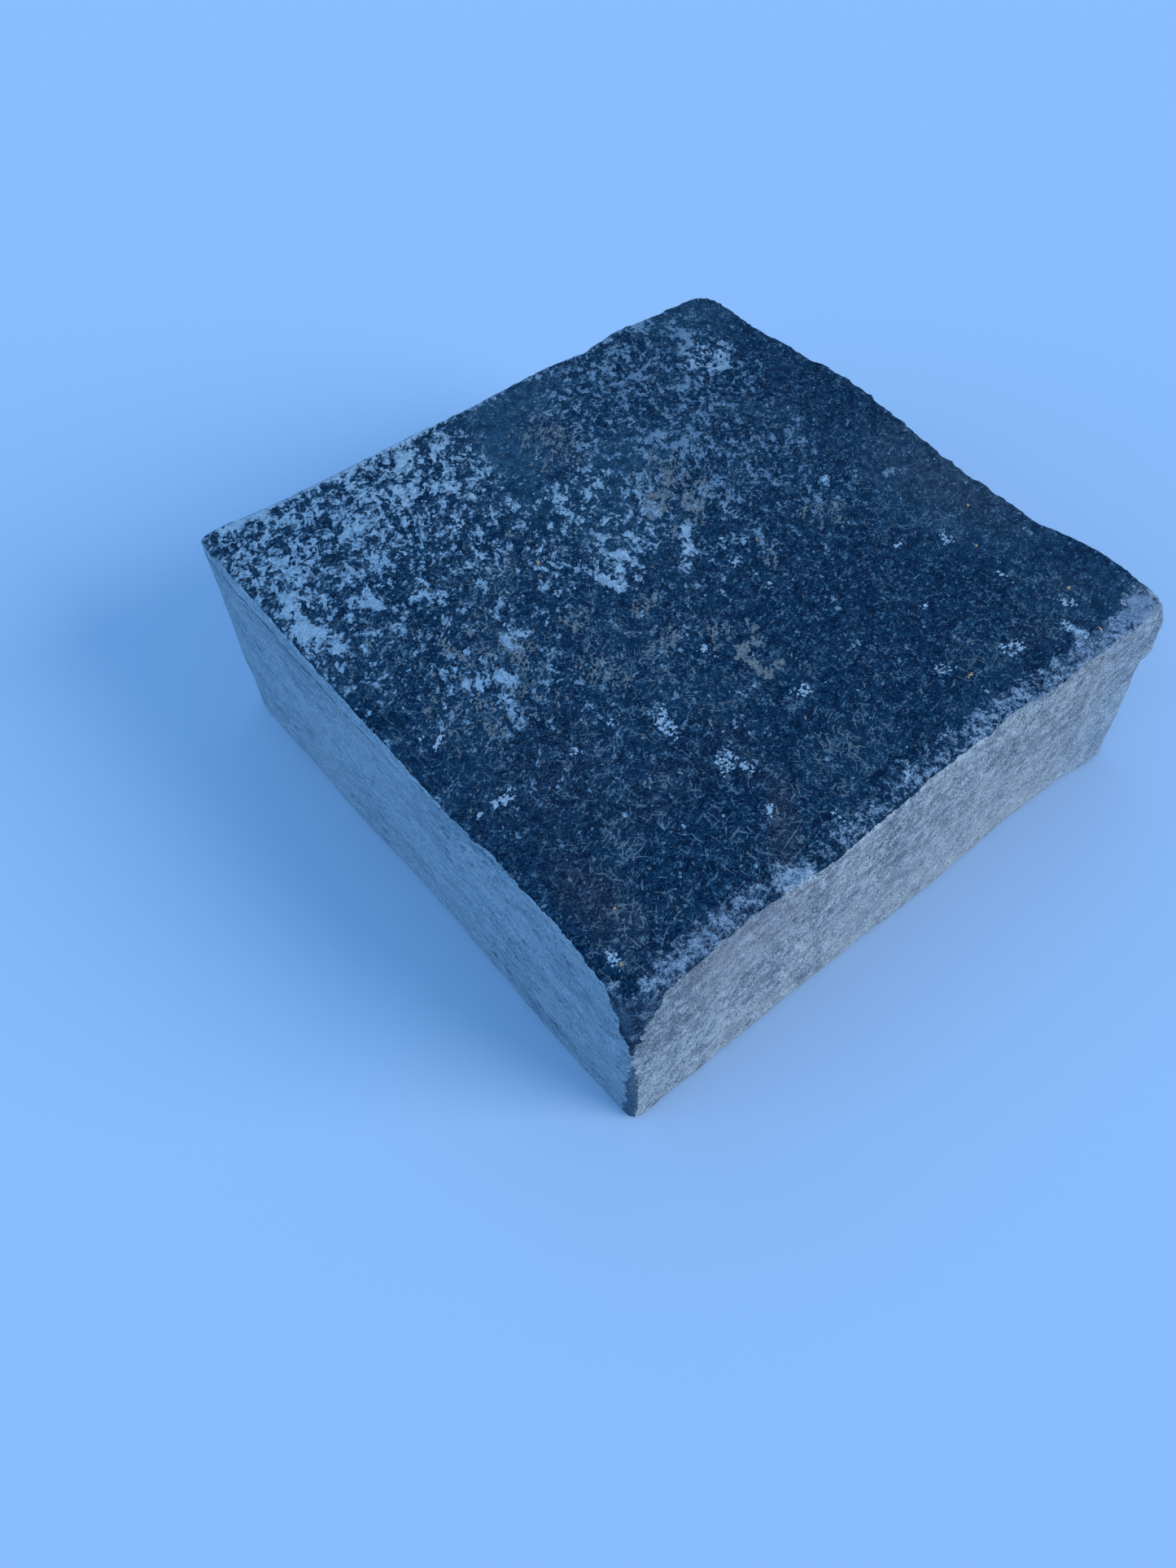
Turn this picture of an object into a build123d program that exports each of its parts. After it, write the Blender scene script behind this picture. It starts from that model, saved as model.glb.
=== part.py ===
from build123d import *
import os

# Natural-stone paving sett (cobblestone), a squat squared block.
# +X runs along the longest side, +Z is up. The origin is at the centre of the
# bounding box, on the bed that the sett lies on. Millimetres throughout.
#
# One side (towards -X) is dressed smooth, the other three are hewn. All four
# meander by a few millimetres. The head is worn: its arrises are eased, two of
# its upright corners are rounded, and the corner at (-X, -Y) is rubbed away into
# a slanting facet that fades out a third of the way down.

# ---- driving dimensions -------------------------------------------------------
LENGTH = 152.0          # along X, over the proudest points of the two sides
WIDTH = 150.0           # along Y, over the proudest points of the two sides
HEIGHT = 52.0           # bed to head
HEAD_ARRIS = 1.5        # how far the worn head arris is eased, inwards
HEAD_EASE = 1.3         # and downwards
BED_ARRIS = 0.9         # the same at the bed, inwards
BED_EASE = 1.1          # and upwards
CORNER_ZONE = 9.0       # each upright corner takes this much of both its sides
CORNER_STEPS = 4        # points between the two ends of a corner's curve
FACET_FOOT = 35.0       # height at which the worn (-X, -Y) facet has run out

HX, HY = LENGTH / 2, WIDTH / 2

# ---- how the sides meander ----------------------------------------------------
# Rows of (position along the side, then the inset from the proudest plane at the
# head, at mid height and at the bed). They run anticlockwise seen from above.
FRONT = [  # faces -Y, position is x
    (-67.0, 1.3, 1.7, 2.1),
    (-56.0, 1.7, 1.9, 2.0),
    (-43.0, 2.2, 2.1, 2.4),
    (-34.0, 1.0, 1.5, 2.4),
    (-22.0, 1.4, 1.6, 2.5),
    (-8.0, 2.2, 1.8, 2.1),
    (8.0, 2.8, 2.2, 1.5),
    (22.0, 2.0, 2.3, 1.9),
    (36.0, 1.4, 2.4, 3.0),
    (50.0, 1.5, 2.2, 3.2),
    (60.0, 1.0, 1.5, 1.8),
    (67.0, 0.9, 0.6, 0.0),
]
RIGHT = [  # faces +X, position is y
    (-66.0, 2.6, 1.4, 0.2),
    (-57.0, 2.9, 1.9, 0.8),
    (-46.0, 4.6, 2.8, 1.6),
    (-37.0, 5.7, 3.6, 2.2),
    (-26.0, 5.1, 3.4, 2.6),
    (-12.0, 4.5, 3.3, 2.2),
    (2.0, 2.4, 2.6, 2.6),
    (16.0, 0.7, 2.0, 3.0),
    (27.0, 0.5, 1.7, 3.2),
    (38.0, 1.6, 2.2, 3.1),
    (50.0, 2.6, 2.9, 3.6),
    (66.0, 2.2, 2.8, 3.9),
]
BACK = [  # faces +Y, position is x
    (67.0, 2.6, 3.3, 4.4),
    (56.0, 2.0, 3.0, 4.5),
    (44.0, 0.8, 2.3, 4.0),
    (33.0, 2.1, 2.8, 3.8),
    (20.0, 1.1, 2.2, 3.6),
    (6.0, 1.4, 2.2, 3.2),
    (-8.0, 1.5, 2.6, 3.6),
    (-22.0, 1.3, 2.7, 4.0),
    (-36.0, 1.4, 2.5, 4.3),
    (-48.0, 1.3, 2.4, 4.2),
    (-58.0, 1.1, 2.2, 4.1),
    (-67.0, 0.0, 1.8, 4.2),
]
LEFT = [  # faces -X, position is y
    (66.0, 0.9, 0.7, 0.3),
    (55.0, 0.9, 0.7, 0.2),
    (44.0, 0.9, 0.8, 0.5),
    (32.0, 0.8, 0.6, 0.4),
    (20.0, 0.8, 0.7, 0.5),
    (6.0, 0.9, 1.0, 1.2),
    (-8.0, 0.8, 1.2, 1.6),
    (-20.0, 0.7, 1.1, 1.5),
    (-33.0, 1.4, 1.5, 1.4),
    (-46.0, 1.6, 1.6, 1.3),
    (-57.0, 1.5, 1.6, 1.5),
    (-66.0, 0.7, 1.2, 1.8),
]

# How square each upright corner is, at the head, at the facet's foot and at the
# bed. 0.7 is a round of about CORNER_ZONE, and 4 or more is nearly sharp.
SQUARENESS = {
    "near_right": (1.0, 1.5, 2.4),    # (+X, -Y)
    "far_right": (0.72, 0.8, 1.0),    # (+X, +Y)
    "far_left": (4.5, 4.0, 3.0),      # (-X, +Y)
    "near_left": (0.85, 5.5, 4.5),    # (-X, -Y), the worn facet
}

# ---- the block's levels -------------------------------------------------------
# Each is a height, and how far its outline is eased inwards.
LEVELS = [
    (0.0, BED_ARRIS),
    (BED_EASE, 0.0),
    (HEIGHT / 3, 0.0),
    (FACET_FOOT, 0.0),
    (HEIGHT - HEAD_EASE, 0.0),
    (HEIGHT, HEAD_ARRIS),
]


def at_height(z, head, middle, bed):
    """A quadratic through the bed, middle and head values, by height."""
    t = z / HEIGHT
    return (
        bed * (1 - t) * (1 - 2 * t)
        + middle * 4 * t * (1 - t)
        + head * t * (2 * t - 1)
    )


def side(rows, z, ease, place):
    return [place(s, at_height(z, h, m, b) + ease) for s, h, m, b in rows]


def corner(a, b, q, weight):
    """Points strictly between a and b on the conic that turns towards q."""
    found = []
    for i in range(1, CORNER_STEPS + 1):
        t = i / (CORNER_STEPS + 1)
        wa, wq, wb = (1 - t) ** 2, 2 * t * (1 - t) * weight, t**2
        total = wa + wq + wb
        found.append(
            (
                (wa * a[0] + wq * q[0] + wb * b[0]) / total,
                (wa * a[1] + wq * q[1] + wb * b[1]) / total,
            )
        )
    return found


def squareness(name, z):
    head, foot, bed = SQUARENESS[name]
    if z >= FACET_FOOT:
        t = (z - FACET_FOOT) / (HEIGHT - FACET_FOOT)
        return foot * (head / foot) ** t
    t = z / FACET_FOOT
    return bed * (foot / bed) ** t


def outline(z, ease):
    """The block's closed outline at height z."""
    front = side(FRONT, z, ease, lambda s, d: (s, -HY + d))
    right = side(RIGHT, z, ease, lambda s, d: (HX - d, s))
    back = side(BACK, z, ease, lambda s, d: (s, HY - d))
    left = side(LEFT, z, ease, lambda s, d: (-HX + d, s))
    points = []
    for here, there, name, upright in (
        (front, right, "near_right", False),
        (right, back, "far_right", True),
        (back, left, "far_left", False),
        (left, front, "near_left", True),
    ):
        a, b = here[-1], there[0]
        q = (a[0], b[1]) if upright else (b[0], a[1])
        points += here + corner(a, b, q, squareness(name, z))
    return points


# ---- the sett -----------------------------------------------------------------
with BuildPart() as sett:
    for height, ease in LEVELS:
        with BuildSketch(Plane.XY.offset(height)):
            with BuildLine():
                Polyline(*outline(height, ease), close=True)
            make_face()
    loft(ruled=True)

sett.part.label = "sett"

os.makedirs("parts", exist_ok=True)
export_step(sett.part, "parts/sett.step")

box = sett.part.bounding_box()
print("box", box.min, box.max, "volume mm3", round(sett.part.volume))
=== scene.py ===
import math

import bpy
import numpy as np
from mathutils import Matrix, Vector


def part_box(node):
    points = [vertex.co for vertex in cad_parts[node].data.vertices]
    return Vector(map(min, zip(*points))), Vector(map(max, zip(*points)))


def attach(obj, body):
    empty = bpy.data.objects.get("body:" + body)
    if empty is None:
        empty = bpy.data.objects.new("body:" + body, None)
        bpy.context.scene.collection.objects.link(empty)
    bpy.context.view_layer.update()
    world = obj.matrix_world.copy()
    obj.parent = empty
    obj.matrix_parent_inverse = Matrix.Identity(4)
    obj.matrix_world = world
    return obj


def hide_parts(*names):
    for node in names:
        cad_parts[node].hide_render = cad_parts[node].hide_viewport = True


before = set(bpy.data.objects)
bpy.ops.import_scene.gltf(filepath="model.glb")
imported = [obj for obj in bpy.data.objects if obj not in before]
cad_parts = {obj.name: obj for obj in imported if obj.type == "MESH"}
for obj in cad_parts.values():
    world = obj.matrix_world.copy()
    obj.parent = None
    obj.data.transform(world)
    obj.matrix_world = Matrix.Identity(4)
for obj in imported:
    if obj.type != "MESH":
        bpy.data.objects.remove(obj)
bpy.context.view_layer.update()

# ---------------------------------------------------------------------------
# A natural-stone paving sett, lying on its bed. Lengths below are millimetres
# until the mesh is written. +X right, +Y back, +Z up, as in the CAD.
# ---------------------------------------------------------------------------
LO, HI = (np.array([v for v in p]) * 1000.0 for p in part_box("sett"))
HEIGHT = float(HI[2])
HX, HY = 76.0, 75.0  # the proudest planes of the four sides
CORNER_ZONE = 9.0
FACET_FOOT = 35.0

N = 196  # mesh segments along each side
M = 58   # and from bed to head

# position along the side, then the inset at the head, mid height and the bed
FRONT = [(-67.0, 1.3, 1.7, 2.1), (-56.0, 1.7, 1.9, 2.0), (-43.0, 2.2, 2.1, 2.2), (-34.0, 1.0, 1.5, 2.2),
         (-22.0, 1.4, 1.6, 2.1), (-8.0, 2.0, 1.8, 1.9), (8.0, 2.4, 2.0, 1.6), (22.0, 1.9, 2.1, 1.8),
         (36.0, 1.5, 2.1, 2.2), (50.0, 1.5, 2.0, 2.1), (60.0, 1.2, 1.5, 1.5), (67.0, 1.2, 0.8, 0.4)]
RIGHT = [(-66.0, 2.6, 1.4, 0.2), (-57.0, 2.9, 1.9, 0.8), (-46.0, 4.6, 2.8, 1.6), (-37.0, 5.7, 3.6, 2.2),
         (-26.0, 5.1, 3.4, 2.6), (-12.0, 4.5, 3.3, 2.2), (2.0, 2.4, 2.6, 2.6), (16.0, 0.7, 2.0, 3.0),
         (27.0, 0.5, 1.7, 3.2), (38.0, 1.6, 2.2, 3.1), (50.0, 2.6, 2.9, 3.6), (66.0, 2.2, 2.8, 3.9)]
BACK = [(67.0, 2.6, 3.3, 4.4), (56.0, 2.0, 3.0, 4.5), (44.0, 0.8, 2.3, 4.0), (33.0, 2.1, 2.8, 3.8),
        (20.0, 1.1, 2.2, 3.6), (6.0, 1.4, 2.2, 3.2), (-8.0, 1.5, 2.6, 3.6), (-22.0, 1.3, 2.7, 4.0),
        (-36.0, 1.4, 2.5, 4.3), (-48.0, 1.3, 2.4, 4.2), (-58.0, 1.1, 2.2, 4.1), (-67.0, 0.0, 1.8, 4.2)]
LEFT = [(66.0, 0.9, 0.7, 0.3), (55.0, 0.9, 0.7, 0.2), (44.0, 0.9, 0.8, 0.5), (32.0, 0.8, 0.6, 0.4),
        (20.0, 0.8, 0.7, 0.5), (6.0, 0.9, 1.0, 1.2), (-8.0, 0.8, 1.2, 1.6), (-20.0, 0.7, 1.1, 1.5),
        (-33.0, 1.4, 1.5, 1.4), (-46.0, 1.6, 1.6, 1.3), (-57.0, 1.5, 1.6, 1.5), (-66.0, 0.7, 1.2, 1.8)]
SQUARENESS = {"near_right": (0.8, 1.3, 2.4), "far_right": (0.72, 0.8, 1.0),
              "far_left": (4.5, 4.0, 3.0), "near_left": (0.85, 5.5, 4.5)}


# ---- seeded noise on points ------------------------------------------------
def hashed(ix, iy, iz, seed):
    """A well-mixed 32-bit number for each lattice point."""
    h = (ix.astype(np.int64) * 374761393 + iy.astype(np.int64) * 668265263
         + iz.astype(np.int64) * 2147483647 + seed * 1274126177) & 0xFFFFFFFF
    h = ((h ^ (h >> 13)) * 1103515245) & 0xFFFFFFFF
    h = ((h ^ (h >> 16)) * 2246822519) & 0xFFFFFFFF
    return h ^ (h >> 13)


def noise(p, seed):
    """Gradient noise, about -1 to 1."""
    cell = np.floor(p)
    f = p - cell
    c = cell.astype(np.int64)
    w = f * f * f * (f * (f * 6 - 15) + 10)
    out = np.zeros(len(p))
    for dx in (0, 1):
        for dy in (0, 1):
            for dz in (0, 1):
                h = hashed(c[:, 0] + dx, c[:, 1] + dy, c[:, 2] + dz, seed)
                gx = (h & 1023) / 511.5 - 1
                gy = ((h >> 10) & 1023) / 511.5 - 1
                gz = ((h >> 20) & 1023) / 511.5 - 1
                d = gx * (f[:, 0] - dx) + gy * (f[:, 1] - dy) + gz * (f[:, 2] - dz)
                out += (d * (w[:, 0] if dx else 1 - w[:, 0]) * (w[:, 1] if dy else 1 - w[:, 1])
                        * (w[:, 2] if dz else 1 - w[:, 2]))
    return out * 1.6


def fbm(p, size, seed, octaves=4, gain=0.5):
    """Fractal noise whose largest lumps are about size across."""
    total, amp, norm = np.zeros(len(p)), 1.0, 0.0
    q = p / np.asarray(size, float)
    for i in range(octaves):
        total += amp * noise(q + 17.3 * i, seed + 101 * i)
        norm += amp
        amp *= gain
        q = q * 2.03
    return total / norm ** 0.8


def ridged(p, size, seed, octaves=3, gain=0.5):
    """Sharp-crested noise, 0 to about 1."""
    total, amp, norm = np.zeros(len(p)), 1.0, 0.0
    q = p / np.asarray(size, float)
    for i in range(octaves):
        total += amp * (1 - np.abs(noise(q + 9.1 * i, seed + 57 * i)))
        norm += amp
        amp *= gain
        q = q * 2.1
    return total / norm


def cells(p, size, seed):
    """Distance to the nearest and second-nearest scattered point, in cell units."""
    q = p / np.asarray(size, float)
    c = np.floor(q).astype(np.int64)
    f1, f2 = np.full(len(p), 9.0), np.full(len(p), 9.0)
    for dx in (-1, 0, 1):
        for dy in (-1, 0, 1):
            for dz in (-1, 0, 1):
                h = hashed(c[:, 0] + dx, c[:, 1] + dy, c[:, 2] + dz, seed)
                x = c[:, 0] + dx + (h & 1023) / 1023 - q[:, 0]
                y = c[:, 1] + dy + ((h >> 10) & 1023) / 1023 - q[:, 1]
                z = c[:, 2] + dz + ((h >> 20) & 1023) / 1023 - q[:, 2]
                d = np.sqrt(x * x + y * y + z * z)
                f2 = np.minimum(f2, np.maximum(f1, d))
                f1 = np.minimum(f1, d)
    return f1, f2


def step(a, b, x):
    t = np.clip((x - a) / (b - a), 0, 1)
    return t * t * (3 - 2 * t)


# ---- the block's outline at any height -------------------------------------
def quadratic(z, head, middle, bed):
    t = z / HEIGHT
    return bed * (1 - t) * (1 - 2 * t) + middle * 4 * t * (1 - t) + head * t * (2 * t - 1)


def smooth_side(rows, z, count=260):
    """Positions along a side and the inset there, through the rows without kinks."""
    s = np.array([r[0] for r in rows])
    d = np.array([quadratic(z, *r[1:]) for r in rows])
    slope = np.gradient(d, s)
    x = np.linspace(s[0], s[-1], count)
    order = s if s[0] < s[-1] else s[::-1]
    k = np.clip(np.searchsorted(order, x) - 1, 0, len(s) - 2)
    if s[0] > s[-1]:
        k = len(s) - 2 - k
    h = s[k + 1] - s[k]
    t = (x - s[k]) / h
    y = ((2 * t**3 - 3 * t**2 + 1) * d[k] + (t**3 - 2 * t**2 + t) * h * slope[k]
         + (-2 * t**3 + 3 * t**2) * d[k + 1] + (t**3 - t**2) * h * slope[k + 1])
    return x, y


def squareness(name, z):
    head, foot, bed = SQUARENESS[name]
    if z >= FACET_FOOT:
        t = (z - FACET_FOOT) / (HEIGHT - FACET_FOOT)
        return foot * (head / foot) ** t
    t = z / FACET_FOOT
    return bed * (foot / bed) ** t


def conic(a, b, q, w, count=80):
    t = np.linspace(0, 1, count)[:, None]
    wa, wq, wb = (1 - t) ** 2, 2 * t * (1 - t) * w, t**2
    return (wa * a + wq * q + wb * b) / (wa + wq + wb)


def graded(n, ratio, ends):
    """n steps over 0 to 1, smaller towards both ends."""
    x = (np.arange(n) + 0.5) / n
    w = 1 - (1 - ratio) * (np.exp(-x / ends) + np.exp(-(1 - x) / ends))
    return np.concatenate([[0], np.cumsum(w)]) / w.sum()


ALONG = graded(N, 0.55, 0.035)
UP = graded(M, 0.45, 0.07)


def ring(z):
    """4N points round the block at height z. It starts mid-corner at (-X, -Y)."""
    fx, fd = smooth_side(FRONT, z)
    ry, rd = smooth_side(RIGHT, z)
    bx, bd = smooth_side(BACK, z)
    ly, ld = smooth_side(LEFT, z)
    sides = [np.stack([fx, -HY + fd], 1), np.stack([HX - rd, ry], 1),
             np.stack([bx, HY - bd], 1), np.stack([-HX + ld, ly], 1)]
    names = ("near_right", "far_right", "far_left", "near_left")
    turns = []
    for i, name in enumerate(names):
        a, b = sides[i][-1], sides[(i + 1) % 4][0]
        q = np.array([b[0], a[1]]) if i % 2 == 0 else np.array([a[0], b[1]])
        turns.append(conic(a, b, q, squareness(name, z)))
    out = []
    for i in range(4):
        before, after = turns[i - 1], turns[i]
        line = np.concatenate([before[len(before) // 2:], sides[i][1:-1], after[:len(after) // 2 + 1]])
        gone = np.concatenate([[0], np.cumsum(np.linalg.norm(np.diff(line, axis=0), axis=1))])
        want = ALONG * gone[-1]
        out.append(np.stack([np.interp(want, gone, line[:, 0]), np.interp(want, gone, line[:, 1])], 1)[:-1])
    return np.concatenate(out)


levels = UP * HEIGHT
rings = np.stack([ring(z) for z in levels])  # (M+1, 4N, 2)
LOOP = 4 * N


def inward(r):
    t = np.roll(r, -1, 0) - np.roll(r, 1, 0)
    n = np.stack([-t[:, 1], t[:, 0]], 1)
    return n / np.linalg.norm(n, axis=1, keepdims=True)


# ---- how far each arris is eased, round the block --------------------------
where = np.concatenate([rings[-1], np.full((LOOP, 1), HEIGHT)], 1)
side_of = np.repeat(np.arange(4), N)  # 0 front, 1 right, 2 back, 3 left
share = np.zeros((LOOP, 4))
share[np.arange(LOOP), side_of] = 1
kernel = np.exp(-0.5 * (np.arange(-12, 13) / 5.0) ** 2)
kernel /= kernel.sum()
share = np.stack([np.convolve(np.concatenate([share[-12:, i], share[:, i], share[:12, i]]), kernel, "valid")
                  for i in range(4)], 1)
wander = fbm(where, 9.0, 11, 3)
slow = fbm(where, 34.0, 12, 2)
ease_head = share @ np.array([1.0, 1.8, 1.4, 0.7]) + wander * (share @ np.array([0.35, 0.6, 0.3, 0.3])) + 0.25 * slow
near = np.linalg.norm(rings[-1] - np.array([-72.0, -71.5]), axis=1)
worn = np.linalg.norm(rings[-1] - np.array([71.5, -71.0]), axis=1)
ease_head = np.clip(ease_head + 1.3 * np.exp(-(near / 7.0) ** 2) + 2.4 * np.exp(-(worn / 9.0) ** 2), 0.4, 4.4)
ease_bed = np.clip(share @ np.array([0.6, 1.3, 1.2, 0.7]) + 0.4 * fbm(where, 11.0, 13, 3), 0.35, 2.2)

# ---- base surface: sides ---------------------------------------------------
pts = np.zeros((M + 1, LOOP, 3))
for k in range(M + 1):
    z = levels[k]
    r2 = rings[k]
    n2 = inward(r2)
    down, upw = HEIGHT - z, z
    th = np.radians(45) * (1 - np.clip(down / ease_head, 0, 1))
    push = np.where(down < ease_head, ease_head * (1 - np.cos(th)), 0)
    drop = np.where(down < ease_head, ease_head * (1 - np.sin(th)), down)
    tb = np.radians(45) * (1 - np.clip(upw / ease_bed, 0, 1))
    push += np.where(upw < ease_bed, ease_bed * (1 - np.cos(tb)), 0)
    lift = np.where(upw < ease_bed, ease_bed * (1 - np.sin(tb)), upw)
    zz = np.where(down < ease_head, HEIGHT - drop, np.where(upw < ease_bed, lift, z))
    pts[k, :, :2] = r2 + n2 * push[:, None]
    pts[k, :, 2] = zz


# ---- base surface: head and bed --------------------------------------------
def fill(loop, params):
    """A grid across a closed loop, by transfinite interpolation."""
    n = len(params) - 1
    front = loop[np.arange(0, n + 1)]
    right = loop[np.arange(n, 2 * n + 1)]
    back = loop[np.arange(2 * n, 3 * n + 1)][::-1]
    left = loop[np.concatenate([np.arange(3 * n, 4 * n), [0]])][::-1]
    u = params[None, :, None]
    v = params[:, None, None]
    c = ((1 - u) * (1 - v) * front[0] + u * (1 - v) * front[-1] + (1 - u) * v * back[0] + u * v * back[-1])
    return (1 - v) * front[None] + v * back[None] + (1 - u) * left[:, None] + u * right[:, None] - c


def eased_plane(loop, params, ease, top):
    """A flat face with its rim turned over by the ease there."""
    grid = fill(loop, params)
    n = len(params) - 1
    flat = grid.reshape(-1, 2)
    jj, ii = np.meshgrid(np.arange(n + 1), np.arange(n + 1))
    rim = np.minimum(np.minimum(ii, n - ii), np.minimum(jj, n - jj)).ravel()
    close = np.nonzero((rim > 0) & (rim < 14 * n // 196 + 3))[0]
    seg_a, seg_b = loop, np.roll(loop, -1, 0)
    ab = seg_b - seg_a
    z = np.full(len(flat), HEIGHT if top else 0.0)
    out = flat.copy()
    for part in np.array_split(close, 40):
        p = flat[part][:, None]
        t = np.clip(((p - seg_a) * ab).sum(2) / (ab * ab).sum(1), 0, 1)
        foot = seg_a + ab * t[..., None]
        dist = np.linalg.norm(p - foot, axis=2)
        best = dist.argmin(1)
        row = np.arange(len(part))
        a, f, tt = dist[row, best], foot[row, best], t[row, best]
        r = ease[best] * (1 - tt) + ease[(best + 1) % len(loop)] * tt
        inside = a < r
        th = np.radians(45) * (1 + np.clip(a / r, 0, 1))
        x = r * (1 - np.cos(th))
        dr = r * (1 - np.sin(th))
        way = (flat[part] - f) / np.maximum(a, 1e-9)[:, None]
        out[part] = np.where(inside[:, None], f + way * x[:, None], flat[part])
        z[part] = np.where(inside, HEIGHT - dr if top else dr, z[part])
    return np.concatenate([out, z[:, None]], 1).reshape(n + 1, n + 1, 3)


head = eased_plane(rings[-1], ALONG, ease_head, True)
H = N // 2
bed = eased_plane(rings[0][::2], ALONG[::2], ease_bed[::2], False)

# ---- one closed mesh -------------------------------------------------------
ring_id = np.arange((M + 1) * LOOP).reshape(M + 1, LOOP)


def grid_ids(n, rim_ids, first):
    """Vertex numbers over an (n+1)^2 grid whose rim is already made."""
    ids = np.full((n + 1, n + 1), -1)
    ids[0, :] = rim_ids[np.arange(0, n + 1)]
    ids[:, n] = rim_ids[np.arange(n, 2 * n + 1)]
    ids[n, :] = rim_ids[np.arange(2 * n, 3 * n + 1)][::-1]
    ids[:, 0] = rim_ids[np.concatenate([np.arange(3 * n, 4 * n), [0]])][::-1]
    ids[1:n, 1:n] = first + np.arange((n - 1) ** 2).reshape(n - 1, n - 1)
    return ids


top_id = grid_ids(N, ring_id[M], (M + 1) * LOOP)
bed_first = (M + 1) * LOOP + (N - 1) ** 2
bed_id = grid_ids(H, ring_id[0][::2], bed_first)
V = np.concatenate([pts.reshape(-1, 3), head[1:N, 1:N].reshape(-1, 3), bed[1:H, 1:H].reshape(-1, 3)])

# UV charts on one square map of 1024 units: x, y, width, height, turned
CHARTS = {"head": (3, 3, 614, 606), "left": (625, 3, 196, 606), "front": (826, 3, 196, 606),
          "bed": (3, 618, 398, 400), "right": (409, 618, 612, 196), "back": (409, 822, 612, 196)}


def uv(chart, u, v, turned=False):
    x, y, w, h = CHARTS[chart]
    if turned:
        u, v = v, u
    return np.stack([(x + u * w) / 1024, (y + v * h) / 1024], -1)


faces, uvs, chart_of = [], [], []
k, c = np.meshgrid(np.arange(M), np.arange(LOOP), indexing="ij")
c2 = (c + 1) % LOOP
quads = np.stack([ring_id[k, c], ring_id[k, c2], ring_id[k + 1, c2], ring_id[k + 1, c]], -1).reshape(-1, 4)
local = c % N
u0, u1 = ALONG[local], ALONG[local + 1]
v0, v1 = UP[k], UP[k + 1]
suv = np.zeros((M, LOOP, 4, 2))
for s, name in enumerate(("front", "right", "back", "left")):
    sel = (c // N) == s
    turned = name in ("left", "front")
    for corner_i, (uu, vv) in enumerate(((u0, v0), (u1, v0), (u1, v1), (u0, v1))):
        suv[:, :, corner_i][sel] = uv(name, uu[sel], vv[sel], turned)
quad_uv = suv.reshape(-1, 4, 2)
j, i = np.meshgrid(np.arange(N), np.arange(N), indexing="ij")
tq = np.stack([top_id[j, i], top_id[j, i + 1], top_id[j + 1, i + 1], top_id[j + 1, i]], -1).reshape(-1, 4)
tuv = np.stack([uv("head", ALONG[i + a], ALONG[j + b]) for a, b in ((0, 0), (1, 0), (1, 1), (0, 1))], 2).reshape(-1, 4, 2)

# the bed has half as many cells, and those at its rim take the extra rim points
HALF = ALONG[::2]
bed_faces, bed_uv = [], []
rim = ring_id[0]
for j in range(H):
    for i in range(H):
        poly = [(bed_id[j, i], HALF[i], HALF[j])]
        if i == 0:
            poly.append((rim[(4 * N - (2 * j + 1)) % LOOP], 0.0, ALONG[2 * j + 1]))
        poly.append((bed_id[j + 1, i], HALF[i], HALF[j + 1]))
        if j == H - 1:
            poly.append((rim[3 * N - (2 * i + 1)], ALONG[2 * i + 1], 1.0))
        poly.append((bed_id[j + 1, i + 1], HALF[i + 1], HALF[j + 1]))
        if i == H - 1:
            poly.append((rim[N + 2 * j + 1], 1.0, ALONG[2 * j + 1]))
        poly.append((bed_id[j, i + 1], HALF[i + 1], HALF[j]))
        if j == 0:
            poly.append((rim[2 * i + 1], ALONG[2 * i + 1], 0.0))
        bed_faces.append([int(q[0]) for q in poly])
        bed_uv.append([tuple(uv("bed", q[1], q[2])) for q in poly])


def normals(v):
    """Vertex normals, from every face's area vector."""
    out = np.zeros_like(v)
    for q in (quads, tq, bed_quads):
        a, b, cc, d = (v[q[:, n]] for n in range(4))
        fn = np.cross(cc - a, d - b)
        for n in range(4):
            np.add.at(out, q[:, n], fn)
    return out / np.maximum(np.linalg.norm(out, axis=1, keepdims=True), 1e-12)


jb, ib = np.meshgrid(np.arange(H), np.arange(H), indexing="ij")
bed_quads = np.stack([bed_id[jb, ib], bed_id[jb + 1, ib], bed_id[jb + 1, ib + 1], bed_id[jb, ib + 1]], -1).reshape(-1, 4)

# ---- how much each point belongs to each face ------------------------------
n0 = normals(V)
w_top = step(0.30, 0.80, n0[:, 2])
w_bed = step(0.30, 0.80, -n0[:, 2])
flat = np.sqrt(np.maximum(1 - n0[:, 2] ** 2, 1e-9))
w_side = 1 - np.maximum(w_top, w_bed)
w_front = w_side * step(0.45, 0.85, -n0[:, 1] / flat)
w_right = w_side * step(0.45, 0.85, n0[:, 0] / flat)
w_back = w_side * step(0.45, 0.85, n0[:, 1] / flat)
w_left = w_side * step(0.45, 0.85, -n0[:, 0] / flat)

B = V.copy()  # the base, for placing things

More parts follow.
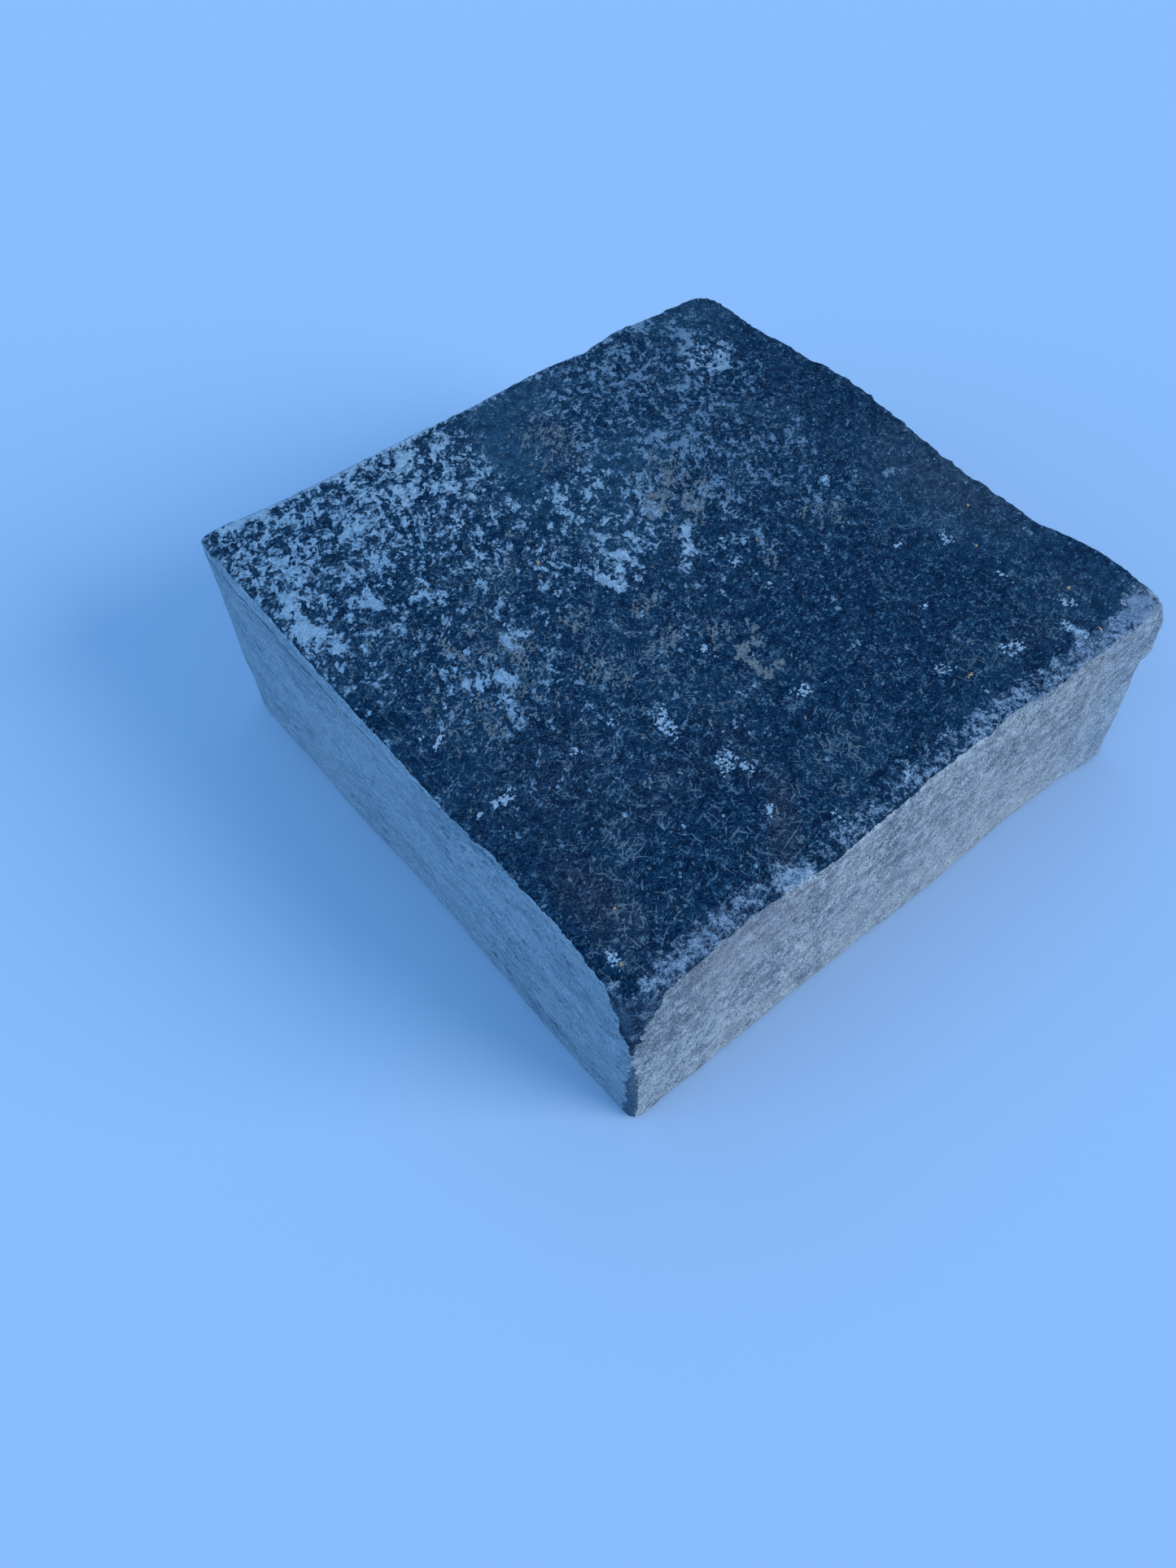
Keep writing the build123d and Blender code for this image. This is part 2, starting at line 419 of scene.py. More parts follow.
# ---- large shape: hewn undulation ------------------------------------------
loop_top = rings[-1]
inset = np.full(len(V), 99.0)
grid_first = (M + 1) * LOOP
for part in np.array_split(np.arange(grid_first, bed_first), 60):
    d2 = ((B[part, None, :2] - loop_top[None, ::3]) ** 2).sum(2)
    inset[part] = np.sqrt(d2.min(1))
inset[:grid_first] = 0.0
inner = 0.12 + 0.88 * step(0, 15, inset)
tall = 0.3 + 0.7 * np.minimum(step(0, 9, B[:, 2]), step(0, 9, HEIGHT - B[:, 2]))
big = np.zeros(len(V))
big += w_top * inner * (0.75 * fbm(B, (46, 46, 46), 21, 3) + 0.34 * fbm(B, (13, 13, 13), 22, 3))
big += tall * w_front * (0.34 * fbm(B, (30, 30, 17), 23, 3) + 0.2 * fbm(B, (8, 8, 6), 24, 2))
big += tall * w_right * (0.9 * fbm(B, (26, 22, 15), 25, 3) + 0.45 * fbm(B, (8, 7, 6), 26, 3))
big += tall * w_back * (0.3 * fbm(B, (40, 30, 18), 27, 3) + 0.16 * fbm(B, (9, 9, 6), 28, 2))
big += tall * w_left * (0.2 * fbm(B, (30, 50, 16), 29, 2))
# a dent near the front
big -= w_top * 0.5 * np.exp(-(((B[:, 0] + 49) / 4.5) ** 2 + ((B[:, 1] + 42) / 3.2) ** 2))
# the near right corner is worn down on top and stands proud below
big -= w_top * 1.3 * np.exp(-((B[:, 0] - 74) ** 2 + (B[:, 1] + 74) ** 2) / 9.0 ** 2)
corner_r = np.exp(-((B[:, 0] - 73) ** 2 + (B[:, 1] + 69) ** 2) / 7.5 ** 2) * (1 - w_top)
big += corner_r * 1.7 * step(35.0, 37.5, B[:, 2]) * step(51, 44, B[:, 2])
# fine breakage along the arrises
rim_near = step(3.2, 0.6, np.where(w_top > 0.5, inset, HEIGHT - B[:, 2])) * (1 - w_bed)
big += rim_near * (0.09 + 0.16 * step(40, 60, B[:, 0]) - 0.04 * step(40, 60, B[:, 1])) * 1.5 * fbm(B, (3.4, 3.4, 3.4), 35, 3, 0.6)
# the dressed side has long shallow ledges that run with it, below the arris
ledge = B[:, 2] - (44.0 + 0.02 * (B[:, 1] - 20) + 0.5 * noise(B / np.array([9, 26, 40]), 31))
big += w_left * step(-20, 25, B[:, 1]) * step(71, 58, B[:, 1]) * 0.30 * (np.tanh(ledge / 0.7) - 0.6 * np.tanh((ledge - 3.4) / 1.1))
low = B[:, 2] - (13.0 + 1.2 * noise(B / np.array([9, 34, 40]), 32))
big += w_left * 0.22 * np.tanh(low / 2.2)
V = V + n0 * big[:, None]

# ---- flakes struck off the arrises -----------------------------------------
rng = np.random.default_rng(4411)
top_loop = V[ring_id[M]]
bed_loop = V[ring_id[0]]
out_top = -inward(top_loop[:, :2])
out_bed = -inward(bed_loop[:, :2])


def strike(v, centre, radius):
    """Takes a ball out of the stone."""
    d = v - centre
    dist = np.linalg.norm(d, axis=1)
    hit = dist < radius
    v[hit] = centre + d[hit] * (radius / dist[hit])[:, None]


def arris_flake(v, col, radius, depth, top=True, tilt=None):
    loop, out = (top_loop, out_top) if top else (bed_loop, out_bed)
    tilt = rng.uniform(0.45, 1.25) if tilt is None else tilt
    way = np.array([out[col, 0], out[col, 1], tilt if top else -tilt])
    along = np.array([-out[col, 1], out[col, 0], 0.0])
    way = way / np.linalg.norm(way) + along * rng.uniform(-0.25, 0.25)
    way /= np.linalg.norm(way)
    strike(v, loop[col] + way * (radius - depth), radius)


def column(side, s):
    """The loop column on a side, 0 front to 3 left, nearest to position s."""
    cols = np.arange(side * N, side * N + N)
    axis = 0 if side in (0, 2) else 1
    return int(cols[np.abs(top_loop[cols, axis] - s).argmin()])


for s, radius, depth, tilt in ((-34.0, 5.0, 0.9, 0.9), (-38.0, 4.0, 0.7, 0.7), (-8.0, 6.0, 0.3, 1.1), (12.0, 7.0, 0.18, 0.8),
                               (27.0, 4.0, 0.18, 0.6), (43.0, 6.0, 0.25, 1.0), (57.0, 5.0, 0.4, 0.9)):
    arris_flake(V, column(0, s), radius, depth, True, tilt)
for s, radius, depth, tilt in ((-41.0, 11.0, 0.8, 0.7), (-22.0, 8.0, 0.6, 0.9), (-6.0, 10.0, 0.55, 0.6), (9.0, 7.0, 0.55, 0.9),
                               (34.0, 9.0, 0.7, 0.8), (53.0, 8.0, 0.55, 0.7)):
    arris_flake(V, column(1, s), radius, depth, True, tilt)
for s, radius, depth, tilt in ((50.0, 6.0, 0.4, 0.8), (32.0, 7.0, 0.4, 0.7), (-4.0, 6.0, 0.3, 0.8), (-30.0, 5.0, 0.25, 1.0)):
    arris_flake(V, column(2, s), radius, depth, True, tilt)
for s, radius, depth, tilt in ((-52.0, 6.0, 0.45, 0.8), (-32.0, 5.0, 0.5, 0.6), (-18.0, 4.0, 0.4, 0.8), (8.0, 5.0, 0.35, 0.7)):
    arris_flake(V, column(3, s), radius, depth, True, tilt)
for side, count, big_r, deep in ((0, 46, 3.0, 0.42), (1, 110, 2.8, 0.62), (2, 34, 2.6, 0.22), (3, 30, 2.6, 0.26)):
    for _ in range(count):
        col = side * N + int(rng.integers(0, N))
        radius = rng.uniform(1.5, big_r)
        arris_flake(V, col, radius, rng.uniform(0.3, 1.0) * deep, True)
for side, count, big_r, deep in ((0, 20, 4.5, 0.5), (1, 26, 5.0, 0.8), (2, 22, 5.0, 0.7), (3, 16, 3.2, 0.4)):
    for _ in range(count):
        col = side * N + int(rng.integers(0, N))
        radius = rng.uniform(1.8, big_r)
        arris_flake(V, col, radius, rng.uniform(0.3, 1.0) * deep, False)
# upright corners: broken strips low on the near one, small ones elsewhere
for col, zs in ((0, (3.5, 9.0, 14.5, 20.0, 26.0)), (N, (5.0, 12.0, 22.0, 31.0)), (2 * N, (8.0, 19.0, 33.0)), (3 * N, (4.0, 10.0, 17.0, 25.0, 38.0))):
    for z in zs:
        kk = int(np.abs(levels - z).argmin())
        p = V[ring_id[kk, col]]
        way = np.array([p[0], p[1], 0.0])
        way = way / np.linalg.norm(way) + rng.uniform(-0.3, 0.3, 3)
        way /= np.linalg.norm(way)
        radius = rng.uniform(2.0, 5.0)
        strike(V, p + way * (radius - rng.uniform(0.12, 0.4)), radius)

# ---- hewn faces: shallow scars of the hammer -------------------------------
for side, count, rr, dd in ((1, 16, (16, 34), (0.3, 0.9)), (0, 7, (18, 40), (0.15, 0.4)), (2, 6, (24, 50), (0.1, 0.3))):
    for _ in range(count):
        col = side * N + int(rng.integers(8, N - 8))
        kk = int(rng.integers(6, M - 4))
        p = V[ring_id[kk, col]]
        way = np.array([out_top[col, 0], out_top[col, 1], rng.uniform(-0.25, 0.25)])
        way /= np.linalg.norm(way)
        radius = rng.uniform(*rr)
        strike(V, p + way * (radius - rng.uniform(*dd)), radius)

n1 = normals(V)


# ---- where things lie on the head ------------------------------------------
def blot(x, y, rx, ry, turn=0.0, soft=0.35):
    """1 inside an ellipse on the plan, falling to 0 outside."""
    a = math.radians(turn)
    dx, dy = V[:, 0] - x, V[:, 1] - y
    u = (dx * math.cos(a) + dy * math.sin(a)) / rx
    v = (-dx * math.sin(a) + dy * math.cos(a)) / ry
    return 1 - step(1 - soft, 1 + soft, np.sqrt(u * u + v * v))


def most(*layers):
    out = np.zeros(len(V))
    for layer in layers:
        out = np.maximum(out, layer)
    return out


warp = V + np.stack([fbm(V, 16, 41, 2), fbm(V, 16, 42, 2), np.zeros(len(V))], 1) * 4.0
X, Y, Z = V[:, 0], V[:, 1], V[:, 2]
wander_rim = fbm(V, 8.0, 43, 2)

def over(*pairs):
    """The thickest of several covers, each (how thick, where)."""
    out = np.zeros(len(V))
    for amount, layer in pairs:
        out = np.maximum(out, amount * layer)
    return out


# how much of the head the pale flakes cover
cover = over(
    (0.46, step(34, 56, warp[:, 1]) * step(2, -18, warp[:, 0])),
    (0.36, step(22, 46, warp[:, 1]) * step(-16, -34, warp[:, 0])),
    (0.22, step(-4, 26, warp[:, 1]) * step(0, -26, warp[:, 0])),
    (0.24, blot(38, 52, 32, 22, 6, 0.5)), (0.40, blot(36, 61, 10, 10, 0, 0.6)), (0.55, blot(54, 50, 8, 7, 20, 0.6)),
    (0.40, blot(15, 62, 7, 4, 0, 0.6)), (0.40, blot(30, 64, 5, 7, 0, 0.6)), (0.45, blot(55, 62, 4, 7, -12, 0.6)),
    (0.18, blot(28, 30, 24, 14, 20, 0.5)), (0.46, blot(27, 27, 4, 5, 0, 0.6)), (0.46, blot(32, 28, 3, 6, -10, 0.6)),
    (0.62, blot(25, 35.5, 5, 2.4, 0, 0.6)), (0.66, blot(11, 42.5, 4, 3, 30, 0.6)), (0.45, blot(41, 36, 6, 4, 20, 0.7)),
    (0.27, blot(2, 26, 12, 16, 0, 0.5)), (0.62, blot(-6.5, 32, 2.0, 8, -14, 0.5)), (0.3, blot(0, 36, 7, 4, 30, 0.6)),
    (0.34, blot(-6, 12, 9, 7, 20, 0.5)), (0.90, blot(-14.0, 6.6, 2.4, 4.6, 12, 0.6)), (0.90, blot(-9.0, 9.5, 6.0, 2.2, 25, 0.5)),
    (0.84, blot(4.6, 2.6, 8.2, 1.6, 50, 0.6)), (0.7, blot(-2, 13, 5, 3, 0, 0.6)),
    (0.32, blot(28, 12, 14, 6, 8, 0.6)), (0.40, blot(37, -5, 3.4, 5, 20, 0.6)), (0.7, blot(43.8, -1, 2, 2, 0, 0.7)),
    (0.34, blot(20, -5, 6, 5, 0, 0.7)), (0.24, blot(40, 14, 12, 10, 0, 0.7)), (0.5, blot(19, -6, 1.6, 3, -20, 0.7)),
    (0.98, blot(-70.4, 43.0, 2.5, 6.2, -14, 0.5)), (0.98, blot(-71.3, 34.0, 3.1, 5.8, 4, 0.45)), (0.86, blot(-69.6, 27.0, 2.2, 3.2, 30, 0.5)), (0.8, blot(-66.8, 30.0, 3.6, 1.0, -8, 0.5)),
    (0.86, blot(-66, 56, 4.4, 3.6, 40, 0.5)), (0.8, blot(-63.5, 51, 2.2, 5, -26, 0.5)), (0.8, blot(-32, 57.5, 5, 4, 0, 0.5)),
    (0.78, blot(-48, 53, 4, 3.4, 0, 0.6)), (0.78, blot(-57, 34, 3.4, 3.4, 40, 0.5)), (0.66, blot(-49, 42, 2.6, 4, 10, 0.6)),
    (0.72, blot(-55, 43, 3, 2.2, 0, 0.6)), (0.72, blot(-19, 58, 3.0, 3.4, 0, 0.6)), (0.7, blot(-26, 66, 2.4, 5, -14, 0.6)),
    (0.7, blot(-74, 60, 2, 6, 0, 0.6)), (0.66, blot(-16, 38, 3.4, 2.2, 10, 0.6)), (0.5, blot(-33, 41, 4, 5, 0, 0.7)),
    (0.15, blot(-50, -2, 14, 12, 10, 0.5)), (0.96, blot(-47.8, -1.8, 1.9, 3.0, 4, 0.5)), (0.75, blot(-51, -7.5, 2.0, 4.4, -10, 0.6)),
    (0.55, blot(-40, 4, 4, 4, 0, 0.7)), (0.6, blot(-52, 1, 3.4, 2.4, 0, 0.6)), (0.02, blot(-20, -12, 22, 12, 10, 0.5)),
    (0.05, blot(-10, 0, 64, 50, 0, 0.5)), (0.10, blot(30, -6, 30, 16, 0, 0.6)),
)
cover *= (1 - 0.8 * blot(-3, 54, 8, 14, -10, 0.6)) * (1 - 0.85 * blot(6, 68, 13, 6, 0, 0.6)) * (1 - 0.5 * blot(22, 44, 9, 5, 0, 0.6))
cover *= 1 - 0.8 * step(56, 68, X) * step(-10, 10, Y)
cover *= 1 - 0.75 * blot(26, -32, 40, 26, 12, 0.3)
rim_line = step(2.8, 1.0, np.abs(Y - 73.4 + 0.6 * wander_rim)) * (0.45 + 0.55 * step(2, -16, X)) * step(66, 50, X) * step(-75, -70, X)
cover = np.clip(np.maximum(cover, 0.93 * rim_line), 0.004, 0.985)

# tan crust
crust = over(
    (0.66, blot(10.5, 19, 5.6, 4.2, 30, 0.5)), (0.72, blot(17, 13.5, 3.6, 6, -40, 0.5)), (0.7, blot(9, 7.4, 5.4, 2.2, -8, 0.5)),
    (0.30, blot(16, 24, 9, 6, 30, 0.6)), (0.62, blot(-13.5, -4, 3.6, 2.4, 10, 0.6)), (0.58, blot(-16.5, -13.8, 3.4, 3.0, 20, 0.6)),
    (0.92, blot(-5.0, -26.8, 3.6, 1.6, 10, 0.5)), (0.9, blot(-7.4, -31.0, 1.2, 4.6, 4, 0.5)), (0.8, blot(-3.0, -34.0, 3.4, 0.9, 8, 0.5)),
    (0.8, blot(-0.4, -24.0, 0.9, 4.6, -18, 0.5)), (0.55, blot(-6.5, -20, 4, 3.0, 0, 0.6)), (0.03, blot(-12, -14, 14, 10, 0, 0.6)),
    (0.66, blot(-51.5, 11, 1.0, 5, 6, 0.6)), (0.6, blot(-46, 11.5, 1.0, 4.6, -14, 0.6)), (0.7, blot(-41, 3.5, 3.4, 1.8, -40, 0.6)),
    (0.55, blot(-27, 1.5, 3.6, 3, 20, 0.6)), (0.5, blot(-32, -13, 4, 6, 20, 0.7)), (0.26, blot(-52, -4, 12, 12, 0, 0.6)),
    (0.045, blot(-30, -8, 30, 16, 0, 0.6)), (0.36, blot(5, 50, 7, 10, -10, 0.6)), (0.34, blot(1, 45, 5, 4, 0, 0.6)),
    (0.45, blot(17, -10.5, 1.4, 3.4, -32, 0.6)), (0.06, blot(30, 20, 22, 14, 20, 0.6)), (0.07, blot(-40, 24, 30, 12, 0, 0.6)),
    (0.30, blot(35, -8, 6, 4, 0, 0.7)), (0.012, blot(-20, 0, 60, 60, 0, 0.3)),
)
crust = np.clip(0.85 * crust, 0.006, 0.97)

# crisp white flecks
fleck = over(
    (0.95, blot(-30.8, -31.0, 1.7, 3.6, -16, 0.6)), (0.9, blot(-28.6, -27.0, 0.8, 1.0, 0, 0.7)), (0.85, blot(-28, -45, 3.0, 1.6, 40, 0.6)),
    (0.85, blot(-26.0, -48.5, 1.0, 1.9, 10, 0.7)), (0.9, blot(-65.5, -25.0, 2.6, 1.4, 10, 0.6)), (0.9, blot(-71.0, -25.2, 0.9, 0.6, 0, 0.7)),
    (0.92, blot(-66.5, -6.2, 2.4, 0.8, 35, 0.6)), (0.8, blot(-69.3, -3.2, 0.5, 1.6, 10, 0.6)), (0.9, blot(-12.0, -21.8, 0.9, 1.2, 0, 0.7)),
    (0.92, blot(20.5, -56.0, 2.6, 1.2, -30, 0.6)), (0.9, blot(35.5, -61.0, 3.0, 1.4, -10, 0.6)), (0.9, blot(54.6, -59.6, 1.4, 2.0, 10, 0.6)),
    (0.92, blot(49.8, -31.2, 1.3, 1.3, 20, 0.6)), (0.8, blot(43.5, -0.5, 1.5, 1.2, 0, 0.7)), (0.8, blot(50.5, -46.0, 0.7, 2.0, 0, 0.7)),
    (0.9, blot(10.0, -7.4, 1.0, 1.0, 10, 0.7)), (0.8, blot(10.4, -17.0, 1.0, 0.8, 0, 0.7)), (0.9, blot(12.8, 0.0, 0.7, 0.6, 0, 0.7)),
    (0.9, blot(49.2, -66.8, 0.9, 3.4, 3, 0.6)), (0.9, blot(31.0, -41.6, 1.2, 0.7, -10, 0.7)), (0.9, blot(-71.0, -63.6, 0.9, 2.0, -10, 0.6)),
    (0.9, blot(-29.8, -58.6, 1.2, 0.8, 35, 0.7)), (0.8, blot(22.8, -66.0, 0.5, 1.8, 8, 0.7)), (0.8, blot(-4.5, -69.0, 0.8, 1.6, 0, 0.7)),
    (0.8, blot(-20.8, -68.0, 0.5, 2.0, 10, 0.7)), (0.75, blot(-5, -42, 2.0, 1.4, 0, 0.7)), (0.6, blot(-38, -24, 1.4, 1.0, 20, 0.7)),
    (0.7, blot(2.8, -50, 1.0, 0.6, 0, 0.7)), (0.6, blot(-48, -24.5, 1.2, 1.0, 0, 0.7)), (0.55, blot(40, -26, 2.0, 0.8, 10, 0.7)),
    (0.85, blot(-29, 40, 0.8, 0.6, 0, 0.7)), (0.85, blot(-22.5, 18.5, 0.5, 0.4, 0, 0.7)), (0.8, blot(-1.0, 48, 1.0, 0.8, 0, 0.7)),
)
fleck = np.clip(fleck * 0.60, 0.0006, 0.6)
spark = 0.8 * most(
    blot(-22.4, 20.0, 0.9, 0.45, 60, 0.5), blot(-70.6, -65.4, 0.55, 0.45, 0, 0.5), blot(23.7, -60.2, 1.1, 0.4, 10, 0.5),
    blot(58.0, -57.5, 0.8, 0.5, 20, 0.5), blot(-64.5, -56.0, 0.5, 0.5, 0, 0.5), blot(53.0, -36.5, 0.6, 0.5, 0, 0.5),
    blot(70.0, -39.5, 0.6, 0.5, 0, 0.5), blot(18.5, -5.0, 0.4, 0.9, -30, 0.5), blot(53.5, -69.0, 0.5, 0.5, 0, 0.5),
    blot(-9.2, -47.0, 0.5, 0.4, 30, 0.5), blot(-43.0, -39.0, 0.5, 0.5, 0, 0.5), blot(62.0, -27.0, 0.7, 0.4, 20, 0.5),
)
# brown in the dark skin
rust = over(
    (0.95, blot(-30, -62, 2.6, 12, -42, 0.6)), (0.85, blot(63, -20, 8, 17, 6, 0.7)), (0.45, blot(66, -4, 7, 10, 0, 0.7)),
    (0.85, blot(-66, -53, 5, 11, 0, 0.7)), (0.4, blot(42, -61, 5, 4, 0, 0.7)), (0.45, blot(-24, -46, 3, 14, -8, 0.7)),
    (0.35, blot(-40, -42, 16, 5, 0, 0.7)), (0.5, blot(58, -58, 5, 4, 0, 0.7)), (0.4, blot(66, -36, 5, 6, 0, 0.7)),
    (0.25, blot(6, 52, 5, 9, 0, 0.7)), (0.3, blot(-56, -30, 14, 12, 0, 0.7)),
)
# a smooth grey film on the head, together with a painted sheen of sky reflection on its far and right parts
film_and_sky_sheen = over(
    (0.95, blot(-4, 54, 7, 14, -14, 0.7)), (0.7, blot(6, 66, 14, 7, 2, 0.6)), (0.55, blot(-10, 38, 8, 8, 0, 0.6)),
    (0.6, blot(14, 34, 10, 9, 0, 0.6)), (0.4, blot(-2, 22, 12, 14, 0, 0.6)), (0.03, blot(-2, -14, 6, 12, -14, 0.6)),
    (0.45, blot(62, 66, 12, 9, 0, 0.6)), (0.45, blot(62, -24, 12, 24, 0, 0.6)), (0.35, blot(60, -62, 12, 9, 0, 0.6)),
    (0.05, blot(-36, -4, 22, 16, 0, 0.6)),
)
# fine pale fibres felted over the dark
felt = over(
    (0.64, blot(-34, -24, 38, 30, 12, 0.5)), (0.85, blot(-44, -56, 38, 22, 0, 0.5)), (0.75, blot(0, -52, 30, 16, 0, 0.6)),
    (0.65, blot(-40, 14, 34, 20, 0, 0.6)), (0.6, blot(44, -56, 26, 14, 0, 0.6)), (0.5, blot(40, -20, 30, 26, 0, 0.6)), (0.4, step(-80, -60, Y)),
)
combed = np.clip(step(-16, 10, X) * step(16, -10, Y), 0, 1)
dim = np.clip(over((1.0, step(8, 26, X) * step(-30, 0, Y)), (0.7, step(-20, 6, X) * step(30, 44, Y)), (0.6, step(0, 16, X)), (0.35, step(10, -10, Y))), 0, 1)
dim *= 1 - most(blot(54, 50, 7, 6, 20, 0.6), blot(4.6, 2.6, 9, 3, 50, 0.5), blot(-9, 9.5, 9, 7, 25, 0.5), blot(-49, -3, 5, 8, 0, 0.5))

# the head's old dark skin turns over the arris a little, and down the worn corner
round_corner = np.abs(((np.arange(LOOP) + N // 2) % LOOP) - N // 2)
loop_s = np.concatenate([[0], np.cumsum(np.linalg.norm(np.diff(top_loop[:, :2], axis=0), axis=1))])
total_s = loop_s[-1] + np.linalg.norm(top_loop[0, :2] - top_loop[-1, :2])
from_near = np.minimum(loop_s, total_s - loop_s)
corner_s = np.full(len(V), 99.0)
corner_s[: (M + 1) * LOOP] = np.tile(from_near, M + 1)
ragged = 0.20 * fbm(V, 3.2, 51, 3) + 0.16 * fbm(V, 9.0, 52, 2)
skin = step(0.36, 0.50, n1[:, 2] * 0.4 + n0[:, 2] * 0.6 + ragged - 0.10 * w_front - 0.20 * np.exp(-(np.abs(B[:, 1] + 74) / 5.0) ** 2) * step(-62, -56, B[:, 0])
            + 0.34 * step(50, 66, B[:, 0]) * step(-71, -65, B[:, 1]) * step(-20, -45, B[:, 1]) * step(42, 48, B[:, 2]))
facet = step(-0.6, 0.9, 5.6 * (Z - 32.5) / 19.5 - corner_s + 1.6 * fbm(V, 4.0, 53, 3)) * step(31, 36, Z)
strip = 2.3 - 0.085 * Z + 2.2 * fbm(V, 3.6, 54, 4, 0.6)
broken = np.where(X < Y, step(-0.6, 0.6, strip - corner_s), step(-0.2, 0.2, 0.25 + 0.5 * fbm(V, 2.4, 55, 2) - corner_s)) * step(34, 26, Z) * (corner_s < 20)
skin = np.maximum(skin, facet)

# pale dust along the front arris and on the worn near right corner
front_in = np.abs(Y - np.interp(X, rings[-1][:N, 0], rings[-1][:N, 1]))
lip = front_in + 1.3 * fbm(V, 6.0, 61, 2)
band = step(7.0, 3.6, lip) * np.maximum(step(-0.2, 1.2, lip), np.maximum(step(6, 12, X), blot(-36, -72.5, 5, 5, 0, 0.5))) * step(-0.2, 0.4, n1[:, 2])
band *= over((0.62, step(-73, -66, X) * step(-43, -50, X)), (0.95, blot(-36, -72.5, 4.6, 3.4, 0, 0.5)), (0.42, step(-20, -12, X) * step(10, 0, X)),
             (0.60, step(6, 16, X)), (0.8, step(40, 56, X)), (0.2, step(-90, -80, X)))
dust = np.clip(over((1.0, band), (0.60, blot(66.5, -70.5, 8, 3.6, 16, 0.5)), (0.6, blot(49.4, -66.5, 1.4, 4.4, 3, 0.6))), 0.004, 0.95)

film = over((0.95, blot(66.5, -71, 8.5, 3.8, 14, 0.6)), (0.75, blot(-56, -71.2, 11, 2.8, 3, 0.8)), (0.5, blot(50, -72, 14, 2.4, 2, 0.8)))
film *= step(-0.2, 0.5, n1[:, 2])

# the hewn front: calmer low down on the right and high on the left
front_s = w_front
calm = front_s * over((0.9, step(-34, -14, X) * step(31, 20, Z + 2.5 * fbm(V, 12, 62, 2) - 0.05 * X)), (0.6, step(-20, 10, X)), (0.6, step(-64, -58, X) * step(-28, -36, X) * step(27, 35, Z)))
mauve = front_s * over((0.8, step(-66, -58, X) * step(-30, -40, X) * step(28, 38, Z)), (0.3, step(30, 60, X) * step(20, 40, Z)))
chalk = front_s * over((1.0, step(-44, -56, X) * step(34, 22, Z)), (0.35, step(-30, -10, X) * step(14, 6, Z)))

# ---- fine relief -------------------------------------------------------------
raised = np.clip(step(0.35, 0.95, cover + 0.35 * fbm(V, 2.6, 71, 3)), 0, 1)
fine = np.zeros(len(V))
f1, f2 = cells(V, (2.1, 2.1, 2.1), 72)
grit = fbm(V, 1.9, 73, 3, 0.6)
fine += w_top * ((0.22 * grit + 0.22 * fbm(V, 4.4, 74, 3) - 0.18 * step(0.35, 0.0, f1)) * (1 - 0.6 * raised) + 0.12 * raised)
slant = V @ np.array([[0.42, 0, 0.91], [0, 1, 0], [-0.91, 0, 0.42]]).T
grooves = ridged(slant, (1.7, 3.0, 4.6), 75, 3)
rough_band = step(14, 34, Z) * 0.7 + 0.35
fine += w_front * (0.17 * fbm(V, 1.8, 76, 3, 0.6) + 0.12 * fbm(slant, (2.0, 3.0, 6.0), 77, 3) - rough_band * 0.34 * step(0.66, 0.9, grooves)
                   * step(-0.1, 0.5, fbm(V, 9.0, 78, 2) + 0.25))
lean = V @ np.array([[1, 0, 0], [0, 0.8, 0.6], [0, -0.6, 0.8]]).T
fine += w_right * (0.26 * fbm(V, 2.2, 79, 3, 0.6) + 0.3 * fbm(lean, (4, 3.0, 8.0), 80, 3) - 0.3 * step(0.62, 0.9, ridged(lean, (3.0, 2.0, 5.0), 81, 3)))
fine += w_back * (0.12 * fbm(V, 1.8, 82, 3, 0.6) + 0.08 * fbm(V, (12, 6, 2.4), 83, 3) - 0.2 * step(0.4, 0.1, cells(V, (4.4, 4.4, 4.4), 84)[0]))
pits = step(0.30, 0.10, cells(V, (3.0, 4.6, 2.0), 85)[0]) * step(0.0, 0.5, fbm(V, (9, 22, 9), 86, 2) + 0.35 * step(10, -20, Y) * step(26, 44, Z))
fine += w_left * (0.07 * fbm(V, 1.7, 87, 3, 0.6) + 0.07 * fbm(V, (6, 14, 1.9), 88, 3) - 0.30 * pits)
fine += w_bed * (-0.25 + 0.3 * fbm(V, 5.0, 89, 4) + 0.35 * fbm(V, 22.0, 90, 2)) 
edge_mix = np.clip(1 - w_top - w_bed - w_front - w_right - w_back - w_left, 0, 1)
fine += edge_mix * 0.16 * fbm(V, 2.4, 91, 3)
fine -= broken * (0.12 + 0.25 * fbm(V, 2.0, 92, 2))
V = V + n1 * fine[:, None]
V[:, 2] = np.maximum(V[:, 2], 0.0)
bedded = (w_bed > 0.5)
V[bedded, 2] = np.minimum(V[bedded, 2], 3.0)

# ---- the mesh ----------------------------------------------------------------
mesh = bpy.data.meshes.new("sett_stone")
loops_q = np.concatenate([quads, tq]).astype(np.int32)
flat_loops = np.concatenate([loops_q.ravel(), np.array([q for f in bed_faces for q in f], np.int32)])
sizes = np.concatenate([np.full(len(loops_q), 4), np.array([len(f) for f in bed_faces])]).astype(np.int32)
starts = np.concatenate([[0], np.cumsum(sizes)[:-1]]).astype(np.int32)
mesh.vertices.add(len(V))
mesh.vertices.foreach_set("co", (V / 1000.0).astype(np.float32).ravel())
mesh.loops.add(len(flat_loops))
mesh.loops.foreach_set("vertex_index", flat_loops)
mesh.polygons.add(len(sizes))
mesh.polygons.foreach_set("loop_start", starts)
mesh.polygons.foreach_set("use_smooth", np.ones(len(sizes), bool))
mesh.update(calc_edges=True)
layer = mesh.uv_layers.new(name="OFBake")
all_uv = np.concatenate([quad_uv.reshape(-1, 2), tuv.reshape(-1, 2), np.array([q for f in bed_uv for q in f])])
layer.data.foreach_set("uv", all_uv.astype(np.float32).ravel())


